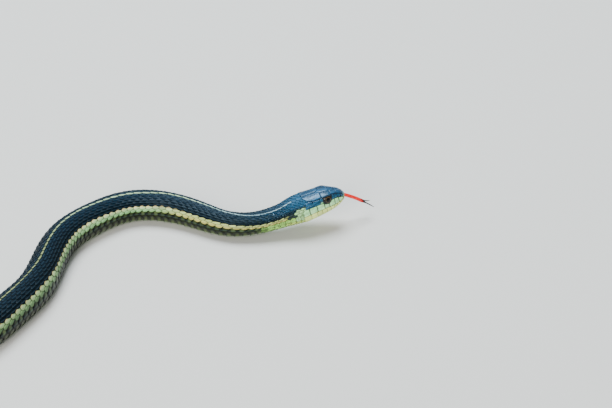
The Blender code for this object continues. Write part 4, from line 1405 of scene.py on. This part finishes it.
def make_plate_material(
    name, stops, rim_colour, mottle_colour, gloss_tint,
    gloss=0.34, seam_black=0.0, shine=0.5, streak_shade=0.2, front=1.0,
):
    """Plates coloured by their angle down from the crown, with a mottle and dark seams."""
    made, tree = new_material(name)
    mark, (mark_back, mark_angle, mark_tone) = attribute(tree, "mark")
    _, (along, _, rim) = attribute(tree, "place")
    mottle = noise(object_place(tree), MOTTLE_PER_METRE, 4.0)
    fine_mottle = noise(object_place(tree), FINE_MOTTLE_PER_METRE, 2.0)
    streaks = noise(mark, 1.0, 2.0, STREAK_SHAPE)
    own_light = between(mark_tone, 0.0, 1.0, 0.8, 1.2, "LINEAR")
    # Painted shade: plates ahead of 9 to 11 mm back are darkened to `front` of their colour.
    own_light = times(own_light, between(mark_back, 9.0, 11.0, front, 1.0))
    colour = dimmed(ramp(mark_angle, 180.0, stops), own_light)
    colour = over(colour, mottle_colour, between(mottle, 0.42, 0.68, 0.0, 0.55))
    colour = over(colour, rim_colour, between(rim, 0.72, 0.98))
    behind = between(maths("ADD", along, times(mottle, 0.3)), 0.9, 1.02)
    colour = over(colour, rim_colour, behind, seam_black)
    round_nostril = times(maths("SUBTRACT", mark_angle, NOSTRIL_DEGREES), NOSTRIL_MM_PER_DEGREE)
    from_nostril = combine(maths("SUBTRACT", mark_back, NOSTRIL_BACK), round_nostril)
    from_nostril = put("ShaderNodeVectorMath", {0: from_nostril}, operation="LENGTH")["Value"]
    # Painted shade: the nostril's shallow pit is painted near black, as if it were deep.
    colour = over(colour, tint(8, 10, 12), between(from_nostril, *NOSTRIL_PAINTED_SHADE))
    # Painted highlight and shade: darkening between the noise's streaks leaves pale streaks of
    # gleam.
    colour = over(colour, rim_colour, between(streaks, 0.6, 0.38, 0.0, streak_shade))
    relief = maths("ADD", times(streaks, 2.0), times(fine_mottle, 0.25))
    return dress(
        made, Base_Color=colour, Normal=bump(relief, 0.5, 0.00014),
        Roughness=between(mottle, 0.3, 0.7, gloss, gloss + 0.12),
        Specular_Tint=gloss_tint, Specular_IOR_Level=shine,
    )


CROWN_BLUE = tint(44, 92, 128)
WARM_GLOSS = (0.95, 0.98, 1.0, 1.0)
crown_material = make_plate_material(
    "plates of the crown",
    (
        # Painted shade: the dark stop at 41 degrees lies under the brow, and front=0.8 darkens the
        # front plates.
        (0, tint(50, 98, 134)), (33, CROWN_BLUE), (41, tint(20, 56, 82)),
        (52, tint(48, 104, 136)), (78, tint(46, 102, 130)),
    ),
    tint(8, 22, 32), tint(20, 58, 88), (0.5, 0.78, 1.0, 1.0),
    gloss=0.18, shine=0.55, streak_shade=0.6, front=0.8,
)
upper_lip_material = make_plate_material(
    "plates of the upper lip",
    ((0, CROWN_BLUE), (60, CROWN_BLUE), (66, tint(168, 232, 158)), (90, tint(202, 255, 188))),
    tint(8, 12, 12), tint(138, 210, 134), (0.85, 0.95, 1.0, 1.0),
    gloss=0.3, seam_black=0.75, shine=0.35,
)
lower_lip_material = make_plate_material(
    "plates of the lower lip",
    ((90, tint(234, 248, 150)), (112, tint(228, 242, 146)), (140, tint(204, 216, 158))),
    tint(110, 116, 56), tint(212, 224, 118), WARM_GLOSS, shine=0.3,
)
chin_material = make_plate_material(
    "plates of the chin", ((140, tint(222, 230, 168)), (180, tint(224, 228, 188))),
    tint(110, 116, 80), tint(208, 216, 154), WARM_GLOSS,
)

# %% Plates of the crown and sides
crown_plates = [("above", corners, True, {"cell": 0.35}) for corners in CROWN.values()]
crown_plates.append(("above", FRONTAL, False, {"cell": 0.35}))
crown_plates += [
    ("side", corners, True, {"cell": 0.16 if "nasal" in name else 0.35})
    for name, corners in SIDES.items()
]
head_piece("head_plates", crown_plates, crown_material)

# %% Plates of the lips
LIP_STANDS_OUT = {"cell": 0.35, "high": PLATE_HIGH + 0.05, "seam": 0.05}
upper_lip = [
    ("front", ROSTRAL, False, {"cell": 0.2}), ("side", LOWER_POSTOCULAR, True, {"cell": 0.3}),
]
for top in UPPER_LIP:
    bottom = (lip_edge(top[-1][0], MOUTH_OPEN), lip_edge(top[0][0], MOUTH_OPEN))
    upper_lip.append(("side", (*top, *bottom), True, LIP_STANDS_OUT))
head_piece("upper_lip_plates", upper_lip, upper_lip_material)
lower_lip = [("front", MENTAL, False, {"cell": 0.22})]
for (front, low_front), (rear, low_rear) in zip(LOWER_LIP, LOWER_LIP[1:]):
    top = (lip_edge(front, -MOUTH_OPEN), lip_edge(rear, -MOUTH_OPEN))
    below = (edge(rear, low_rear), edge(front, low_front))
    lower_lip.append(("side", (*top, *below), True, {"cell": 0.3, "high": 0.09}))
head_piece("lower_lip_plates", lower_lip, lower_lip_material)

# %% Plates of the chin
chin_plates = [("below", corners, True, {"cell": 0.45}) for corners in CHIN.values()]
head_piece("chin_plates", chin_plates, chin_material)

# %% [markdown]
# ## The eyes
# A snake has no lids. A clear scale covers each eye, so it always shines, and a thin ring of skin
# holds it. The ball is a sphere pressed to a lens, as on the solids, and its pupil and iris are
# rings round its own axis, which it keeps as an attribute.

# %% Where an eye sits
EYE_BACK = 7.35
EYE_HEIGHT = 6.75
EYE_RADIUS = 1.95
EYE_THICK = 1.1
EYE_SUNK = 0.52
EYE_FORWARD = math.radians(12.0)
EYE_UP = math.radians(16.0)


def eye_matrix(side):
    """The place and directions of an eye, whose thin way is its own Z."""
    belly, ahead, left, up = (Vector(v) for v in backbone(np.array(EYE_BACK)))
    outward = left * side
    facing = outward * math.cos(EYE_FORWARD) + ahead * math.sin(EYE_FORWARD)
    facing = (facing * math.cos(EYE_UP) + up * math.sin(EYE_UP)).normalized()
    wall = float(section(EYE_BACK, degrees_from_side(EYE_BACK, EYE_HEIGHT))[0])
    middle = belly + left * wall * side + up * EYE_HEIGHT - facing * EYE_SUNK
    back_way = up.cross(facing).normalized()
    turn = Matrix((back_way, facing.cross(back_way), facing)).transposed().to_4x4()
    return Matrix.Translation(middle * MM) @ turn @ Matrix.Diagonal((MM, MM, MM, 1.0))


# %% The clear scale, with the iris under it
PUPIL = 0.95
IRIS = 1.72
SOFT_EDGE = 0.01 * EYE_RADIUS
IRIS_FIBRES = 9.0
GREY = {level: (level, level, level, 1) for level in (0.0, 0.05, 0.55, 1.0)}


def make_eye_material():
    made, tree = new_material("clear scale over the eye")
    _, (x, y, _) = attribute(tree, "place")
    from_axis = maths("SQRT", maths("ADD", times(x, x), times(y, y)))
    round_axis = times(maths("ARCTAN2", y, x), IRIS_FIBRES)
    fibres = noise(combine(round_axis, from_axis), 2.2, 3.0)
    bronze = blend(between(y, -0.6, 1.4), tint(26, 19, 12), tint(70, 50, 26))
    iris = blend(between(fibres, 0.3, 0.7), tint(10, 9, 7), bronze)
    rings = ramp(from_axis, EYE_RADIUS, (
        (0.0, GREY[0.0]), (PUPIL - SOFT_EDGE, GREY[0.0]), (PUPIL + SOFT_EDGE, GREY[1.0]),
        (IRIS, GREY[0.55]), (IRIS + 5 * SOFT_EDGE, GREY[0.05]),
    ))
    colour = blend(1.0, iris, rings, "MULTIPLY")
    gold = stretch(from_axis, PUPIL - 0.02, PUPIL + 0.02, PUPIL + 0.05, PUPIL + 0.14)
    colour = over(colour, tint(176, 150, 96), gold, 0.35)
    return dress(
        made, Base_Color=blend(1.0, colour, tint(3, 5, 7), "ADD"), Roughness=0.08,
        Specular_IOR_Level=0.15, Specular_Tint=(0.8, 0.92, 1.0, 1.0),
        Coat_Weight=0.3, Coat_Roughness=0.02,
    )


eye_material = make_eye_material()

# %% Eyes
BALL_SEGMENTS, BALL_RINGS = 48, 32
BOTH = ((1, "left"), (-1, "right"))
for side, side_name in BOTH:
    bm = bmesh.new()
    bmesh.ops.create_uvsphere(bm, u_segments=BALL_SEGMENTS, v_segments=BALL_RINGS, radius=1.0)
    bmesh.ops.scale(bm, vec=(EYE_RADIUS, EYE_RADIUS, EYE_THICK), verts=bm.verts)
    ball = mesh_from(bm, "eyeball_" + side_name)
    store(ball, "place", *points_of(ball).T)
    ball.transform(eye_matrix(side))
    eye = finish_piece("eyeball_" + side_name, ball, eye_material)
    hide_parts("eye_" + side_name)

# %% The ring round each eye
RING_RADIUS = 1.9
RING_SECTION = (0.2, 0.16)
RING_LEVEL = 0.34
RING_SIDES, RING_STEPS = 12, 56
RING_DEGREES, RING_VARIES = 69.0, 26.0  # the angle it reads its colour at, and the change
ring_material = make_plate_material(
    "ring round the eye",
    ((0, tint(14, 28, 36)), (70, tint(16, 28, 34)), (92, tint(60, 82, 66))),
    tint(8, 12, 14), tint(12, 22, 28), (0.8, 0.92, 1.0, 1.0), gloss=0.4,
)
for side, side_name in BOTH:
    bm = bmesh.new()
    bmesh.ops.create_circle(bm, segments=RING_SIDES, radius=1.0)
    bmesh.ops.scale(bm, vec=(*RING_SECTION, 1.0), verts=bm.verts)
    stand = Matrix.Translation((RING_RADIUS, 0, RING_LEVEL)) @ Matrix.Rotation(math.pi / 2, 4, "X")
    bmesh.ops.transform(bm, matrix=stand, verts=bm.verts)
    bmesh.ops.spin(
        bm, geom=[*bm.verts, *bm.edges], axis=(0, 0, 1), cent=(0, 0, 0),
        angle=2 * math.pi, steps=RING_STEPS, use_merge=True,
    )
    bmesh.ops.remove_doubles(bm, verts=bm.verts, dist=1e-5)
    ring_mesh = mesh_from(bm, "eye_ring_" + side_name)
    x, y, _ = points_of(ring_mesh).T
    store(ring_mesh, "mark", EYE_BACK, RING_DEGREES - RING_VARIES * y / RING_RADIUS, 0.5)
    store(ring_mesh, "place", x, y, 0.0)
    ring_mesh.transform(eye_matrix(side))
    finish_piece("eye_ring_" + side_name, ring_mesh, ring_material)

# %% [markdown]
# ## The tongue
# The tongue slides out through a notch in the lips, so the mouth stays shut. It is two slim
# halves side by side, which part into two black tips. Each half is a circle extruded step by step
# along one line, about a millimetre lower than the solid tongue's, and the pair is joined by a
# union so that it is one body.

# %% The tongue's course
# Forward of the snout, then height above the chin line
TONGUE_LINE = (
    (-3.4, 3.2), (-1.0, 3.5), (0.6, 3.1), (2.3, 1.8), (3.8, 0.55), (5.3, -0.85), (6.8, -2.35),
)
TONGUE_WIDE = 1.55
TONGUE_THICK = 1.15
# Forward of the fork, out from the middle, and how thick
TINE_LINE = ((1.3, 0.45, 0.27), (2.7, 1.2, 0.21), (3.9, 2.2, 0.07))
TINE_DROP = 0.85
TIP_THICK = 0.06
TONGUE_PAIRED = 4.6  # the tongue's width over the distance of a half from the middle
TONGUE_ROUND = 3.5  # its width over a half's own half width, so that the halves overlap
TONGUE_SIDES = 16
TONGUE_RINGS = 44
fork_ahead, fork_high = TONGUE_LINE[-1]
half_out, half_wide = TONGUE_WIDE / TONGUE_PAIRED, TONGUE_WIDE / TONGUE_ROUND
# Forward of the snout, out from the middle, height, half width, half thickness
tongue_course = [
    (ahead, half_out, high, half_wide, TONGUE_THICK / 2) for ahead, high in TONGUE_LINE
]
tongue_course += [
    (fork_ahead + ahead, half_out + out, fork_high - TINE_DROP * ahead, thin, thin)
    for ahead, out, thin in TINE_LINE
]
course = natural_spline(tongue_course, TONGUE_RINGS)
course[:, 3:] = np.maximum(course[:, 3:], TIP_THICK)


# %% Half a tongue
def half_tongue(side):
    """One half of the tongue in the head's directions: back, left and up, in millimetres."""
    bm = bmesh.new()
    bmesh.ops.create_circle(bm, segments=TONGUE_SIDES, radius=1.0, cap_ends=True)
    face, ordered = bm.faces[:][0], list(bm.verts)
    angles = [2 * math.pi * i / TONGUE_SIDES for i in range(TONGUE_SIDES)]
    for i, (ahead, out, high, wide, thick) in enumerate(course):
        before, after = course[max(i - 1, 0)], course[min(i + 1, TONGUE_RINGS - 1)]
        along = (Vector(after[:3]) - Vector(before[:3])).normalized()
        sideways = Vector((0, 1, 0))
        sideways = (sideways - along * along.dot(sideways)).normalized()
        upward = along.cross(sideways)
        if i:
            face = bmesh.ops.extrude_discrete_faces(bm, faces=[face])["faces"][0]
            ordered = list(face.verts)
        for vert, angle in zip(ordered, angles):
            spot = Vector((ahead, out, high)) + sideways * wide * math.cos(angle)
            spot += upward * thick * math.sin(angle)
            vert.co = (-spot.x, side * spot.y, spot.z)
    bmesh.ops.remove_doubles(bm, verts=bm.verts, dist=1e-5)
    bmesh.ops.recalc_face_normals(bm, faces=bm.faces)
    return add_object("half_tongue", mesh_from(bm, "half_tongue"))


# %% Material of the tongue
BLACK_FROM, BLACK_FULL = 6.6, 8.2  # forward of the snout


def make_tongue_material():
    made, tree = new_material("tongue")
    _, (along, _, _) = attribute(tree, "place")
    mottle = noise(object_place(tree), 1500.0, 3.0)
    red = blend(between(mottle, 0.3, 0.7), tint(214, 12, 6), tint(246, 34, 20))
    black_tip = between(maths("ADD", along, mottle), BLACK_FROM, BLACK_FULL)
    return dress(
        made, Base_Color=over(red, tint(22, 12, 14), black_tip),
        Normal=bump(mottle, 0.2, 0.00005), Roughness=0.4, Specular_IOR_Level=0.3,
        Coat_Weight=0.15, Coat_Roughness=0.12,
    )


tongue_material = make_tongue_material()

# %% The two halves joined
halves = [half_tongue(side) for side, _ in BOTH]
union = halves[0].modifiers.new("union", "BOOLEAN")
union.operation = "UNION"
union.object = halves[1]
tongue_mesh = evaluated_mesh(halves[0])
for half in halves:
    bpy.data.objects.remove(half)
x, y, z = points_of(tongue_mesh).T
store(tongue_mesh, "place", -x, y, z)
belly, _, left, up = backbone(x)
set_points(tongue_mesh, (belly + left * y[:, None] + up * z[:, None]) * MM)
tongue = finish_piece("forked_tongue", tongue_mesh, tongue_material)
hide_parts("tongue")

# %% [markdown]
# ## Floor, light and camera
# The model lies on a plain pale floor. A wide soft lamp overhead, a little cool like an open sky,
# puts the long blue gleam along the back, and a weaker one from the camera's side opens up the
# near flank. The camera looks down at about a third of a right angle through a long lens.

# %% Floor
FLOOR_SIZE = 6.0
FLOOR_BELOW = 0.0002
bm = bmesh.new()
bmesh.ops.create_grid(bm, x_segments=1, y_segments=1, size=FLOOR_SIZE / 2)
bmesh.ops.translate(bm, vec=(0, 0, -FLOOR_BELOW), verts=bm.verts)
floor = add_object("floor", mesh_from(bm, "floor"))
floor_material, _ = new_material("floor")
floor.data.materials.append(
    dress(floor_material, Base_Color=tint(214, 212, 206), Roughness=0.85)
)

# %% Lamps and sky
LAMPS_AIM = Vector((0.05, 0.0, 0.0))
SKY = {"Color": (0.86, 0.92, 1.0, 1.0), "Strength": 0.4}


def soft_lamp(name, place, size, power, colour):
    """A round area lamp that faces the snake."""
    data = bpy.data.lights.new(name, "AREA")
    data.shape = "DISK"
    data.size = size
    data.energy = power
    data.color = colour
    lamp = add_object(name, data)
    lamp.location = place
    lamp.rotation_mode = "QUATERNION"
    lamp.rotation_quaternion = (LAMPS_AIM - Vector(place)).to_track_quat("-Z", "Y")


soft_lamp("open sky", (0.0, 0.45, 1.2), size=0.9, power=34.0, colour=(0.84, 0.93, 1.0))
soft_lamp("near side", (-0.35, -1.3, 0.8), size=0.8, power=23.0, colour=(1.0, 0.97, 0.92))
world = bpy.data.worlds.new("studio")
bpy.context.scene.world = world
world.use_nodes = True
wire(world.node_tree.nodes["Background"].inputs, SKY)

# %% Camera
LOOK_AT = Vector((0.152, 0.053, 0.0))
DISTANCE = 1.02
LOOK_DOWN = math.radians(33.0)
camera_data = bpy.data.cameras.new("camera")
camera_data.lens = 150.0
camera_data.sensor_width = 36.0
camera_data.clip_start = 0.01
camera = add_object("camera", camera_data)
camera.location = LOOK_AT + Vector((0, -math.cos(LOOK_DOWN), math.sin(LOOK_DOWN))) * DISTANCE
camera.rotation_euler = (math.pi / 2 - LOOK_DOWN, 0, 0)
bpy.context.scene.camera = camera
